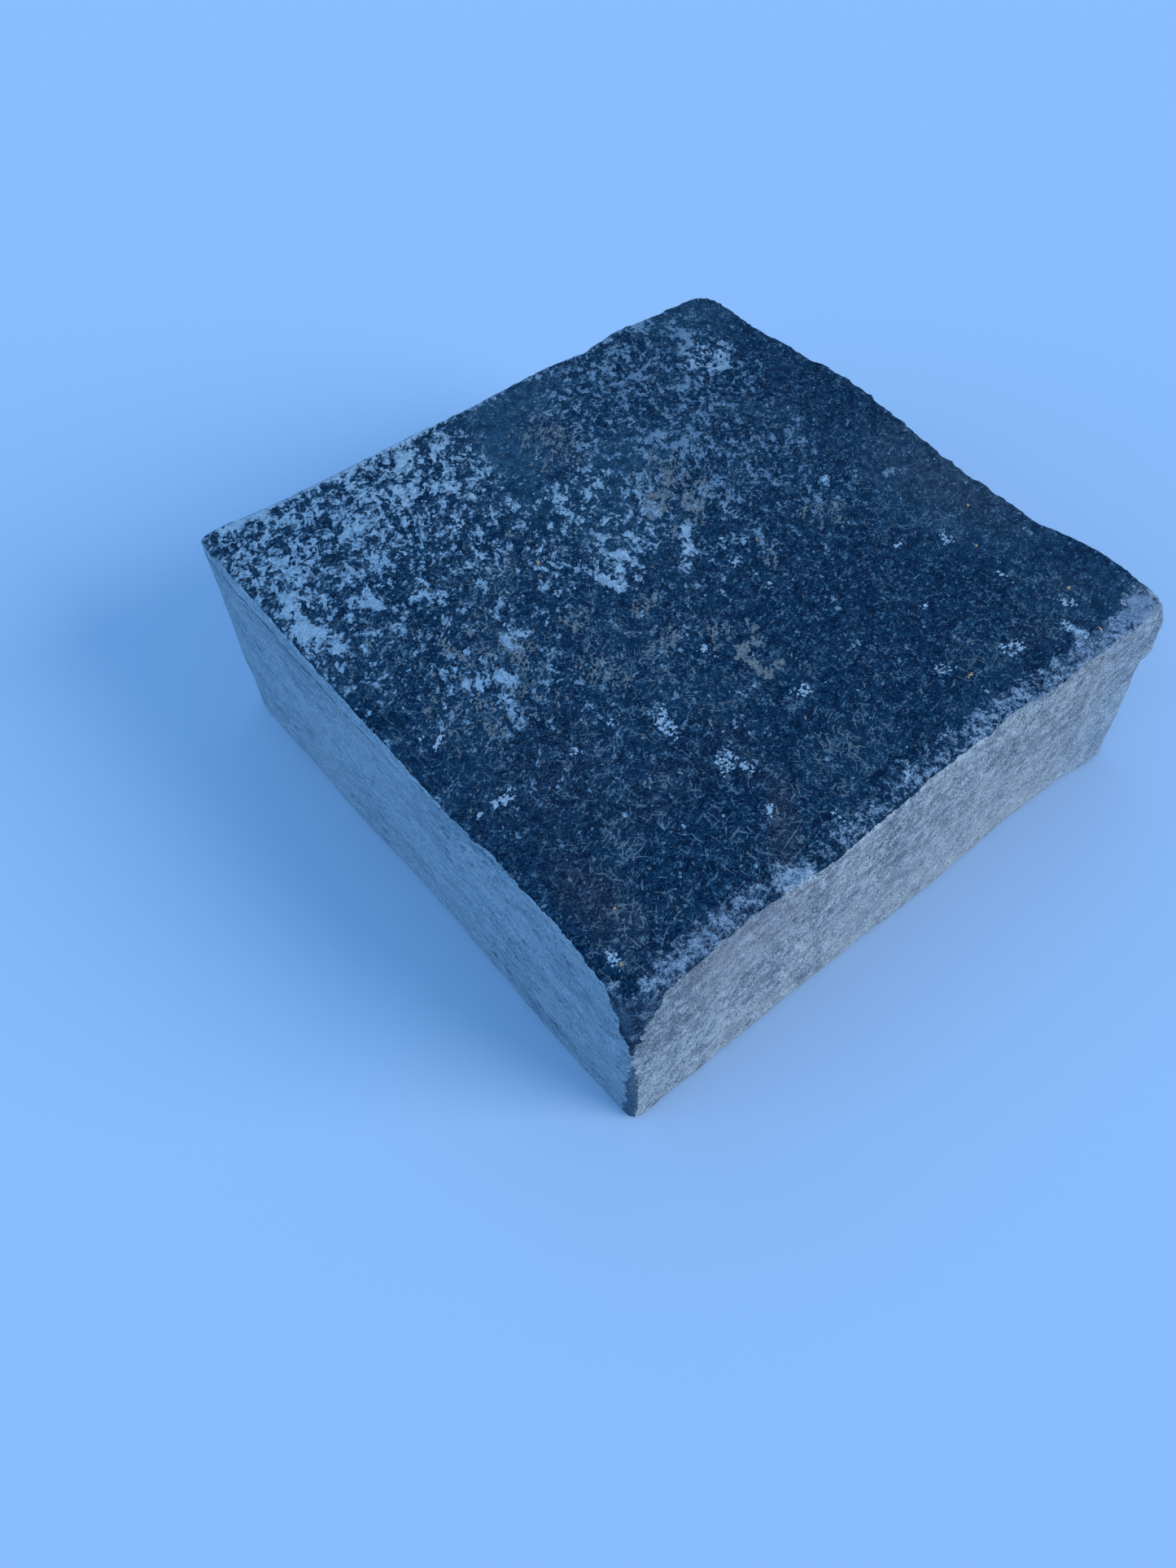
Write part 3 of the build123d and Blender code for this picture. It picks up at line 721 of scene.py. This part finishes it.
def paint(name, values, clip=True):
    made = mesh.attributes.new(name, "FLOAT", "POINT")
    made.data.foreach_set("value", (np.clip(values, 0, 1) if clip else values).astype(np.float32))


def level(share_covered):
    """Where a bell curve must be cut for this share of it to lie above."""
    c = np.clip(share_covered, 1e-4, 1 - 1e-4)
    return ((1 - c) ** 0.135 - c ** 0.135) / 0.1975


side_sawn = np.clip(w_left + w_back, 0, 1) / np.maximum(w_left + w_back + w_front + w_right, 1e-6)
paint("skin", skin)
paint("facet", np.clip(facet * (1 - w_top), 0, 1))
paint("broken", broken)
paint("cut_pale", level(cover), False)
paint("cut_tan", level(crust), False)
paint("cut_fleck", level(fleck), False)
paint("cut_dust", level(dust), False)
paint("spark", spark)
paint("rust", rust)
paint("film_and_sky_sheen", film_and_sky_sheen)
paint("felt", felt)
paint("combed", combed)
paint("dim", dim)
paint("film", film)
paint("sawn", side_sawn)
paint("calm", calm)
paint("mauve", mauve)
paint("chalk", chalk)
paint("left", w_left)
paint("pit", np.clip(pits * w_left + step(0.7, 0.95, grooves) * w_front * rough_band, 0, 1))
mesh.validate(verbose=False)
stone = bpy.data.objects.new("sett_stone", mesh)
bpy.context.scene.collection.objects.link(stone)


# ---- the stone's material ------------------------------------------------------
class Tree:
    """Short calls for building a node tree."""

    def __init__(self, mat):
        mat.use_nodes = True
        self.t = mat.node_tree
        self.t.nodes.clear()

    def new(self, kind, **props):
        n = self.t.nodes.new(kind)
        for key, value in props.items():
            setattr(n, key, value)
        return n

    def put(self, socket, value):
        if isinstance(value, bpy.types.NodeSocket):
            self.t.links.new(value, socket)
        elif isinstance(value, (tuple, list)) and len(value) == 3 and socket.type == "RGBA":
            socket.default_value = (*value, 1.0)
        else:
            socket.default_value = value

    def attr(self, name):
        return self.new("ShaderNodeAttribute", attribute_name=name).outputs["Fac"]

    def math(self, op, a, b=None, c=None, clamp=False):
        n = self.new("ShaderNodeMath", operation=op, use_clamp=clamp)
        self.put(n.inputs[0], a)
        if b is not None:
            self.put(n.inputs[1], b)
        if c is not None:
            self.put(n.inputs[2], c)
        return n.outputs[0]

    def vmath(self, op, a, b=None):
        n = self.new("ShaderNodeVectorMath", operation=op)
        self.put(n.inputs[0], a)
        if b is not None:
            self.put(n.inputs[1], b)
        return n.outputs[0]

    def mapped(self, vec, turn, size, shift=(0, 0, 0)):
        """Coordinates turned about an axis and measured in units of size."""
        n = self.new("ShaderNodeMapping", vector_type="TEXTURE")
        self.put(n.inputs["Vector"], vec)
        n.inputs["Rotation"].default_value = tuple(math.radians(v) for v in turn)
        n.inputs["Scale"].default_value = size
        n.inputs["Location"].default_value = shift
        return n.outputs[0]

    def noise(self, vec, scale=1.0, detail=2.0, rough=0.5, distort=0.0):
        n = self.new("ShaderNodeTexNoise", noise_dimensions="3D")
        self.put(n.inputs["Vector"], vec)
        n.inputs["Scale"].default_value = scale
        n.inputs["Detail"].default_value = detail
        n.inputs["Roughness"].default_value = rough
        n.inputs["Distortion"].default_value = distort
        return n.outputs["Fac"]

    def noise_vec(self, vec, scale):
        n = self.new("ShaderNodeTexNoise", noise_dimensions="3D")
        self.put(n.inputs["Vector"], vec)
        n.inputs["Scale"].default_value = scale
        n.inputs["Detail"].default_value = 2.0
        return n.outputs["Color"]

    def even(self, vec, detail=2.0, rough=0.55, scale=1.0):
        """Noise with mean 0 and spread 1."""
        whole = int(detail)
        amps = [rough**i for i in range(whole + 1)]
        if detail > whole:
            amps.append((detail - whole) * rough ** (whole + 1))
        spread = 0.1308 * math.sqrt(sum(a * a for a in amps)) / sum(amps)
        n = self.new("ShaderNodeMath", operation="MULTIPLY_ADD")
        self.put(n.inputs[0], self.noise(vec, scale, detail, rough))
        n.inputs[1].default_value = 1 / spread
        n.inputs[2].default_value = -0.5 / spread
        return n.outputs[0]

    def shards(self, vec, turn, size, shift=(0, 0, 0)):
        """The middle of the angular cell each point is in."""
        n = self.new("ShaderNodeTexVoronoi", feature="F1")
        self.put(n.inputs["Vector"], self.mapped(vec, turn, size, shift))
        n.inputs["Scale"].default_value = 1.0
        return n.outputs["Position"], n.outputs["Color"]

    def add(self, *terms):
        """A weighted sum: (weight, socket) pairs."""
        total = None
        for weight, socket in terms:
            part = self.math("MULTIPLY", socket, weight)
            total = part if total is None else self.math("ADD", total, part)
        return total

    def cell(self, vec, scale=1.0, feature="F1"):
        n = self.new("ShaderNodeTexVoronoi", feature=feature)
        self.put(n.inputs["Vector"], vec)
        n.inputs["Scale"].default_value = scale
        return n.outputs["Distance"]

    def ramp(self, x, lo, hi, out_lo=0.0, out_hi=1.0, smooth=True):
        n = self.new("ShaderNodeMapRange", interpolation_type="SMOOTHSTEP" if smooth else "LINEAR", clamp=True)
        self.put(n.inputs[0], x)
        self.put(n.inputs[1], lo)
        self.put(n.inputs[2], hi)
        self.put(n.inputs[3], out_lo)
        self.put(n.inputs[4], out_hi)
        return n.outputs[0]

    def mix(self, fac, a, b, blend="MIX"):
        n = self.new("ShaderNodeMix", data_type="RGBA", blend_type=blend, clamp_factor=True)
        self.put(n.inputs[0], fac)
        self.put(n.inputs[6], a)
        self.put(n.inputs[7], b)
        return n.outputs[2]

    def blend(self, fac, a, b):
        n = self.new("ShaderNodeMix", data_type="FLOAT", clamp_factor=True)
        self.put(n.inputs[0], fac)
        self.put(n.inputs[2], a)
        self.put(n.inputs[3], b)
        return n.outputs[0]


mat = bpy.data.materials.new("stone_sett")
g = Tree(mat)
coord = g.new("ShaderNodeTexCoord").outputs["Object"]
mm = g.vmath("SCALE", coord)
mm.node.inputs["Scale"].default_value = 1000.0
drift = g.vmath("SUBTRACT", g.noise_vec(mm, 0.16), (0.5, 0.5, 0.5))
drift_n = g.new("ShaderNodeVectorMath", operation="MULTIPLY_ADD")
g.put(drift_n.inputs[0], drift)
drift_n.inputs[1].default_value = (3.0, 3.0, 3.0)
g.put(drift_n.inputs[2], mm)
pw = drift_n.outputs[0]
drift_m = g.new("ShaderNodeVectorMath", operation="MULTIPLY_ADD")
g.put(drift_m.inputs[0], g.vmath("SUBTRACT", g.noise_vec(mm, 0.30), (0.5, 0.5, 0.5)))
drift_m.inputs[1].default_value = (1.6, 1.6, 1.6)
g.put(drift_m.inputs[2], mm)
drift_s = drift_m.outputs[0]

a_skin, a_facet, a_broken = g.attr("skin"), g.attr("facet"), g.attr("broken")
z_pale, z_tan, z_fleck, z_dust = g.attr("cut_pale"), g.attr("cut_tan"), g.attr("cut_fleck"), g.attr("cut_dust")
a_spark, a_rust, a_film_and_sky_sheen, a_felt, a_combed = g.attr("spark"), g.attr("rust"), g.attr("film_and_sky_sheen"), g.attr("felt"), g.attr("combed")
a_sawn, a_pit = g.attr("sawn"), g.attr("pit")
a_dim, a_film = g.attr("dim"), g.attr("film")
a_calm, a_mauve, a_chalk, a_left = g.attr("calm"), g.attr("mauve"), g.attr("chalk"), g.attr("left")

axes = g.new("ShaderNodeSeparateXYZ")
g.put(axes.inputs[0], mm)
x_mm = axes.outputs[0]

# the dark skin: a felt of short crystals lying several ways
grain = g.even(mm, 3.0, 0.62, 2.2)
blotch = g.even(pw, 3.0, 0.6, 0.42)
cloud = g.even(pw, 2.0, 0.5, 0.07)
fib = None
for turn, size, shift in ((28, (2.6, 0.44, 0.9), 0), (72, (2.2, 0.40, 0.9), 5), (118, (2.4, 0.42, 0.9), 9), (160, (2.6, 0.40, 0.9), 14)):
    one = g.even(g.mapped(mm, (0, 0, turn), size, (shift, shift, 0)), 1.5, 0.55)
    fib = one if fib is None else g.math("MAXIMUM", fib, one)
comb = g.even(g.mapped(pw, (0, 0, 14), (1.9, 0.40, 0.8), (3, 3, 0)), 2.0, 0.6)
fibres = g.blend(g.math("MULTIPLY", a_combed, 0.5), g.math("SUBTRACT", fib, 1.0), comb)

tone = g.add((0.30, blotch), (0.52, grain), (0.82, fibres))
dark = g.mix(g.ramp(tone, -1.3, 0.8), (0.0004, 0.0065, 0.0245), (0.0042, 0.0300, 0.0690))
dark = g.mix(g.ramp(tone, 0.6, 2.5), dark, (0.026, 0.089, 0.158))
dark = g.mix(g.ramp(cloud, 0.2, 2.0, 0.0, 0.30), dark, (0.006, 0.042, 0.090))
# partly a grey film, partly painted sky reflection: the dark skin turns lighter and bluer under this cover
dark = g.mix(g.math("MULTIPLY", a_film_and_sky_sheen, g.ramp(blotch, -1.5, 1.5, 0.40, 0.85)), dark, (0.020, 0.068, 0.126))
dark = g.mix(g.math("MULTIPLY", a_rust, g.ramp(tone, -0.8, 1.6, 0.08, 0.62)), dark, (0.060, 0.060, 0.068))

# pale flakes: angular shards in ragged clusters
centre, tint = g.shards(pw, (0, 0, 64), (1.05, 0.66, 0.9))
centre2, tint2 = g.shards(pw, (0, 0, 20), (0.62, 0.48, 0.6), (4, 2, 1))
flake = g.add((0.76, g.even(centre, 1.5, 0.6, 0.40)), (0.46, g.even(centre2, 1.0, 0.6, 0.62)), (0.20, g.even(mm, 2.0, 0.6, 1.4)), (0.38, g.even(pw, 2.0, 0.5, 0.19)))
over_pale = g.math("SUBTRACT", flake, z_pale)
pale_m = g.ramp(over_pale, -0.12, 0.22)
pale_soft = g.ramp(over_pale, -1.0, 0.2)
bright = g.new("ShaderNodeSeparateColor")
g.put(bright.inputs[0], tint)
shine = g.math("ADD", g.math("MULTIPLY", bright.outputs[0], 0.40), g.ramp(over_pale, 0.0, 1.6, 0.0, 0.62))
shine = g.math("ADD", shine, g.math("MULTIPLY", grain, 0.15), clamp=True)
pale_c = g.mix(shine, (0.103, 0.176, 0.258), (0.326, 0.442, 0.560))
pale_c = g.mix(g.ramp(x_mm, -20, -58), pale_c, (0.84, 0.92, 0.97), "MULTIPLY")
pale_c = g.mix(g.math("MULTIPLY", a_dim, 0.55), pale_c, (0.090, 0.165, 0.262))

tan_n = g.add((0.55, g.even(centre, 2.0, 0.6, 0.30)), (0.42, g.even(centre2, 2.0, 0.6, 0.7)), (0.58, g.even(g.mapped(pw, (0, 0, 40), (3.0, 0.9, 1.8), (11, 3, 0)), 2.0, 0.6)), (0.38, g.even(mm, 2.0, 0.6, 1.6)))
over_tan = g.math("SUBTRACT", tan_n, z_tan)
tan_m = g.ramp(over_tan, -0.04, 0.28)
tan_c = g.mix(g.ramp(grain, -1.2, 1.2), (0.118, 0.148, 0.172), (0.206, 0.226, 0.240))

head_c = g.mix(g.math("MULTIPLY", pale_soft, 0.20), dark, (0.050, 0.116, 0.192))
# single bright grains
grain_id = g.new("ShaderNodeSeparateColor")
g.put(grain_id.inputs[0], tint2)
dots = g.math("MULTIPLY", g.ramp(grain_id.outputs[1], 0.90, 0.94), g.ramp(g.add((0.7, blotch), (0.7, grain)), -1.0, 1.2, 0.15, 0.75))
head_c = g.mix(dots, head_c, (0.102, 0.180, 0.260))
# thin light threads in the felt
hair = None
for turn, size, shift in ((17, (4.2, 0.40, 1.0), 2), (55, (3.6, 0.37, 1.0), 6), (98, (4.0, 0.40, 1.0), 11), (141, (3.8, 0.38, 1.0), 17)):
    one = g.even(g.mapped(drift_s, (0, 0, turn), size, (shift, 2 * shift, 0)), 0.0, 0.5)
    hair = one if hair is None else g.math("MAXIMUM", hair, one)
thread = g.ramp(g.add((1.0, hair), (0.22, blotch), (0.18, cloud), (0.12, grain)), 1.75, 2.35)
thread = g.math("MULTIPLY", thread, g.ramp(a_felt, 0.0, 1.0, 0.12, 1.0))
thread_c = g.mix(g.ramp(cloud, -0.4, 1.2), (0.098, 0.162, 0.222), (0.132, 0.166, 0.190))
head_c = g.mix(g.math("MULTIPLY", thread, 0.85), head_c, thread_c)
head_c = g.mix(g.math("MULTIPLY", tan_m, 0.78), head_c, tan_c)
head_c = g.mix(g.math("MULTIPLY", pale_m, g.ramp(a_dim, 0.0, 1.0, 0.94, 0.74)), head_c, pale_c)
dust_n = g.add((0.75, g.even(mm, 3.0, 0.66, 0.75)), (0.5, g.even(pw, 2.0, 0.6, 0.3)), (0.45, g.even(mm, 2.0, 0.6, 2.6)))
over_dust = g.math("SUBTRACT", dust_n, z_dust)
dust_m = g.ramp(over_dust, -1.0, 1.5)
dust_c = g.mix(g.ramp(g.add((0.8, grain), (0.5, blotch)), -1.2, 1.2), (0.120, 0.190, 0.290), (0.330, 0.410, 0.510))
head_c = g.mix(g.math("MULTIPLY", dust_m, 0.85), head_c, dust_c)
film_m = g.math("MULTIPLY", a_film, g.ramp(g.add((0.6, blotch), (0.5, grain), (0.4, cloud)), -1.2, 1.6, 0.08, 0.85))
head_c = g.mix(film_m, head_c, (0.185, 0.235, 0.335))
fleck_m = g.ramp(g.math("SUBTRACT", g.add((0.8, g.even(centre2, 2.0, 0.6, 0.6)), (0.6, g.even(mm, 3.0, 0.65, 1.1))), z_fleck), -0.02, 0.2)
head_c = g.mix(fleck_m, head_c, (0.290, 0.395, 0.510))
spark_m = g.ramp(g.math("ADD", a_spark, g.math("MULTIPLY", g.even(mm, 2.0, 0.6, 2.4), 0.13)), 0.46, 0.66)
head_c = g.mix(spark_m, head_c, (0.560, 0.370, 0.200))

# the worn corner facet is the same skin rubbed thin, and greyer
head_c = g.mix(g.math("MULTIPLY", a_facet, g.ramp(g.add((0.7, blotch), (0.7, grain)), -0.6, 1.4, 0.10, 0.7)), head_c, (0.070, 0.118, 0.172))

# the hewn sides: light warm grey, granular, with dark slanting nicks
hew_a = g.even(g.mapped(mm, (0, 34, 0), (0.55, 0.7, 0.95)), 2.5, 0.66)
hew_b = g.even(mm, 2.5, 0.74, 2.0)
chip_at, chip_id = g.shards(mm, (0, 34, 0), (1.0, 1.2, 1.5), (1, 2, 3))
chip = g.even(chip_at, 1.0, 0.6, 0.8)
chip_tone = g.new("ShaderNodeSeparateColor")
g.put(chip_tone.inputs[0], chip_id)
chip_v = g.math("SUBTRACT", chip_tone.outputs[0], 0.5)
gap = g.cell(g.mapped(mm, (0, 34, 0), (1.25, 1.3, 1.9), (3, 1, 2)), 1.0, "DISTANCE_TO_EDGE")
hew_mid = g.even(mm, 3.0, 0.6, 0.30)
hew_big = g.even(mm, 3.0, 0.55, 0.07)
hew_t = g.add((0.14, hew_a), (0.50, hew_b), (0.20, chip), (0.75, chip_v), (0.42, hew_mid), (0.44, hew_big))
hew_t = g.math("MULTIPLY", hew_t, g.ramp(a_calm, 0.0, 1.0, 1.0, 0.50))
hew_c = g.mix(g.ramp(hew_t, -1.7, 1.6), (0.180, 0.222, 0.267), (0.496, 0.552, 0.606))
hew_c = g.mix(g.ramp(hew_big, -0.6, 1.4, 0.0, 0.35), hew_c, (0.318, 0.370, 0.385))
# the nicks grow darker where the mesh has pits and grooves; there the darkness is painted shade
nick = g.ramp(g.add((0.8, g.even(g.mapped(mm, (0, 32, 0), (0.42, 0.9, 1.2), (4, 2, 8)), 2.0, 0.6)), (0.4, hew_b), (-0.45, g.ramp(a_pit, 0.0, 0.5))), -1.35, -1.8)
hew_c = g.mix(g.math("MULTIPLY", nick, 0.8), hew_c, (0.060, 0.080, 0.105))
# painted shadow: thin dark lines at the cell edges stand in for the small shadows beside the raised grains
grain_shadow = g.math("MULTIPLY", g.ramp(gap, 0.11, 0.02), g.ramp(g.add((0.6, hew_b), (0.7, hew_mid)), 0.9, -0.9, 0.0, 0.55))
grain_shadow = g.math("MULTIPLY", grain_shadow, g.ramp(a_calm, 0.0, 1.0, 1.0, 0.5))
hew_c = g.mix(grain_shadow, hew_c, (0.095, 0.120, 0.150))
streak = g.ramp(g.even(g.mapped(mm, (0, 42, 0), (0.9, 1.0, 2.6), (9, 9, 1)), 3.0, 0.6), 1.2, 2.2, 0.0, 0.34)
hew_c = g.mix(streak, hew_c, (0.500, 0.540, 0.590))
chalk_n = g.ramp(g.even(g.mapped(mm, (0, 38, 0), (0.8, 1.0, 3.4), (2, 7, 3)), 3.0, 0.62), -0.1, 1.1)
hew_c = g.mix(g.math("MULTIPLY", g.math("MULTIPLY", chalk_n, a_chalk), 0.6), hew_c, (0.540, 0.590, 0.650))
hew_c = g.mix(g.math("MULTIPLY", a_mauve, 0.45), hew_c, (0.330, 0.325, 0.370))
# painted shade: darker in the pits and grooves cut into the mesh
hew_c = g.mix(g.math("MULTIPLY", a_pit, 0.5), hew_c, (0.085, 0.105, 0.130))


# the dressed side: bluer and smoother, with lines running along it; part of the blue tint is painted shade, the cast of
# sky light on the shaded left side
lines = g.even(g.mapped(mm, (0, 0, 0), (3.4, 3.4, 0.42)), 3.0, 0.62)
saw_g = g.even(g.mapped(mm, (0, 0, 0), (0.62, 0.62, 0.34)), 2.5, 0.66)
saw_mid = g.even(g.mapped(mm, (4, 0, 0), (3.6, 3.6, 1.3)), 3.0, 0.6)
saw_big = g.even(g.mapped(mm, (0, 0, 0), (24, 24, 9)), 3.0, 0.5)
saw_t = g.add((0.26, lines), (0.72, saw_g), (0.36, saw_mid), (0.38, saw_big))
saw_c = g.mix(g.ramp(saw_t, -2.0, 2.0), (0.146, 0.226, 0.302), (0.345, 0.446, 0.538))
saw_c = g.mix(g.ramp(saw_big, 0.0, 1.8, 0.0, 0.35), saw_c, (0.230, 0.292, 0.352))
speckle = g.ramp(g.add((1.0, g.even(g.mapped(mm, (8, 0, 0), (0.95, 0.95, 0.42), (1, 2, 3)), 2.0, 0.6)), (0.4, saw_mid), (0.4, g.ramp(axes.outputs[1], -40.0, 30.0))), -1.35, -2.3, 0.0, 0.85)
saw_c = g.mix(speckle, saw_c, (0.045, 0.085, 0.125))
# painted shade: dark lines running along it under the head, standing in for the shading of its low ridges
along_y, up_z = axes.outputs[1], axes.outputs[2]
wave = g.even(g.mapped(mm, (0, 0, 0), (14, 26, 14)), 2.0, 0.5)
fine_wave = g.even(g.mapped(mm, (0, 0, 0), (2, 3, 2)), 2.0, 0.5)
for height_mm, slope, half, first, last, strength in ((47.0, 0.006, 0.34, -8.0, 10.0, 0.75), (45.4, 0.008, 0.22, 0.0, 20.0, 0.65), (42.2, -0.004, 0.20, -30.0, -10.0, 0.45), (26.0, 0.012, 0.20, -20.0, 0.0, 0.25)):
    line_z = g.math("ADD", g.math("MULTIPLY", along_y, slope), g.add((0.38, wave), (0.10, fine_wave)))
    off = g.math("ABSOLUTE", g.math("SUBTRACT", g.math("SUBTRACT", up_z, height_mm), line_z))
    ridge_shade = g.math("MULTIPLY", g.ramp(off, half * 1.9, half * 0.6), g.ramp(along_y, first, last))
    ridge_shade = g.math("MULTIPLY", ridge_shade, g.math("MULTIPLY", a_left, g.ramp(fine_wave, -1.6, 0.4, 0.25, strength)))
    saw_c = g.mix(ridge_shade, saw_c, (0.050, 0.090, 0.135))
# painted shade: darker in the pits cut into the mesh
saw_c = g.mix(g.math("MULTIPLY", a_pit, 0.8), saw_c, (0.035, 0.060, 0.095))
saw_c = g.mix(g.ramp(along_y, -20, -66, 0.0, 1.0), saw_c, (0.92, 0.91, 0.92), "MULTIPLY")

hew_c = g.mix(g.ramp(axes.outputs[0], -25, -68, 0.0, 1.0), hew_c, (0.83, 0.875, 0.90), "MULTIPLY")
hew_c = g.mix(g.ramp(axes.outputs[0], 45, 72, 0.0, 1.0), hew_c, (0.86, 0.96, 1.05), "MULTIPLY")
side_c = g.mix(a_sawn, hew_c, saw_c)
broken_m = g.ramp(g.math("ADD", a_broken, g.math("MULTIPLY", g.even(mm, 3.0, 0.65, 0.9), 0.14)), 0.40, 0.62)
side_c = g.mix(g.math("MULTIPLY", broken_m, 0.88), side_c, g.mix(g.ramp(grain, -1, 1.5), (0.011, 0.045, 0.088), (0.085, 0.150, 0.218)))
skin_edge = g.ramp(g.math("ADD", a_skin, g.math("MULTIPLY", g.even(mm, 3.0, 0.65, 0.7), 0.13)), 0.43, 0.57)
base_c = g.mix(skin_edge, side_c, head_c)

rough_side = g.ramp(hew_t, -1.5, 1.5, 0.80, 0.95)
rough_head = g.ramp(tone, -1.0, 2.0, 0.86, 0.74)
rough_head = g.blend(g.math("MULTIPLY", pale_m, 0.8), rough_head, 0.72)
rough_head = g.blend(dust_m, rough_head, 0.9)
rough = g.blend(skin_edge, rough_side, rough_head)

bump_head = g.add((0.24, fibres), (0.24, grain), (0.18, blotch))
bump_hew = g.add((0.22, hew_a), (0.32, hew_b), (0.24, hew_mid), (0.45, chip_v))
bump_saw = g.add((0.14, lines), (0.18, saw_g))
height = g.blend(skin_edge, g.blend(a_sawn, bump_hew, bump_saw), bump_head)
bump = g.new("ShaderNodeBump")
bump.inputs["Strength"].default_value = 1.0
bump.inputs["Distance"].default_value = 0.00028
g.put(bump.inputs["Height"], height)

bsdf = g.new("ShaderNodeBsdfPrincipled")
bsdf.inputs["IOR"].default_value = 1.5
bsdf.inputs["Specular IOR Level"].default_value = 0.10
bsdf.inputs["Specular Tint"].default_value = (0.45, 0.76, 1.0, 1.0)
g.put(bsdf.inputs["Base Color"], base_c)
g.put(bsdf.inputs["Roughness"], rough)
g.put(bsdf.inputs["Normal"], bump.outputs["Normal"])
out = g.new("ShaderNodeOutputMaterial")
g.put(out.inputs["Surface"], bsdf.outputs[0])
mesh.materials.append(mat)

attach(stone, "root")
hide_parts("sett")

# ---- floor, light and camera ---------------------------------------------------
floor_mesh = bpy.data.meshes.new("floor")
S = 9.0
floor_mesh.from_pydata([(-S, -S, 0), (S, -S, 0), (S, S, 0), (-S, S, 0)], [], [(0, 1, 2, 3)])
floor = bpy.data.objects.new("floor", floor_mesh)
floor.location = (0, 0, -0.00005)
bpy.context.scene.collection.objects.link(floor)
fmat = bpy.data.materials.new("floor_pale")
f = Tree(fmat)
fb = f.new("ShaderNodeBsdfPrincipled")
fb.inputs["Base Color"].default_value = (0.305, 0.412, 0.565, 1)
fb.inputs["Roughness"].default_value = 1.0
fb.inputs["Specular IOR Level"].default_value = 0.0
fo = f.new("ShaderNodeOutputMaterial")
f.put(fo.inputs["Surface"], fb.outputs[0])
floor_mesh.materials.append(fmat)

world = bpy.data.worlds.new("studio")
bpy.context.scene.world = world
world.use_nodes = True
wt = world.node_tree
wt.nodes.clear()
bg = wt.nodes.new("ShaderNodeBackground")
bg.inputs["Color"].default_value = (0.30, 0.58, 1.0, 1)
bg.inputs["Strength"].default_value = 0.84
wo = wt.nodes.new("ShaderNodeOutputWorld")
wt.links.new(bg.outputs[0], wo.inputs[0])


def soft(name, place, spread, power, colour):
    """A far-off softbox, spread degrees wide."""
    data = bpy.data.lights.new(name, "SUN")
    data.angle = math.radians(spread)
    data.energy = power
    data.color = colour
    ob = bpy.data.objects.new(name, data)
    ob.location = place
    ob.rotation_mode = "QUATERNION"
    ob.rotation_quaternion = (-Vector(place)).to_track_quat("-Z", "Y")
    bpy.context.scene.collection.objects.link(ob)
    return ob


soft("key", (0.62, -0.95, 0.52), 38, 3.45, (0.88, 0.94, 1.0))
soft("top", (0.15, 0.45, 1.1), 60, 0.62, (0.40, 0.72, 1.0))
soft("fill", (-0.9, 0.1, 0.6), 60, 1.62, (0.34, 0.66, 1.0))

cam_data = bpy.data.cameras.new("camera")
cam_data.sensor_fit = "AUTO"
cam_data.sensor_width = 36.0
cam_data.lens = 28.02
cam_data.clip_start, cam_data.clip_end = 0.01, 60.0
cam = bpy.data.objects.new("camera", cam_data)
bpy.context.scene.collection.objects.link(cam)
right = Vector((0.77563, -0.63096, -0.01714))
up = Vector((0.51872, 0.62171, 0.58687))
ahead = Vector((0.35963, 0.46408, -0.80950))
cam.matrix_world = Matrix.Translation((-0.13308, -0.13804, 0.23613)) @ Matrix(
    ((right.x, up.x, -ahead.x), (right.y, up.y, -ahead.y), (right.z, up.z, -ahead.z))).to_4x4()
bpy.context.scene.camera = cam
bpy.context.scene.view_settings.view_transform = "Standard"
bpy.context.scene.view_settings.look = "None"
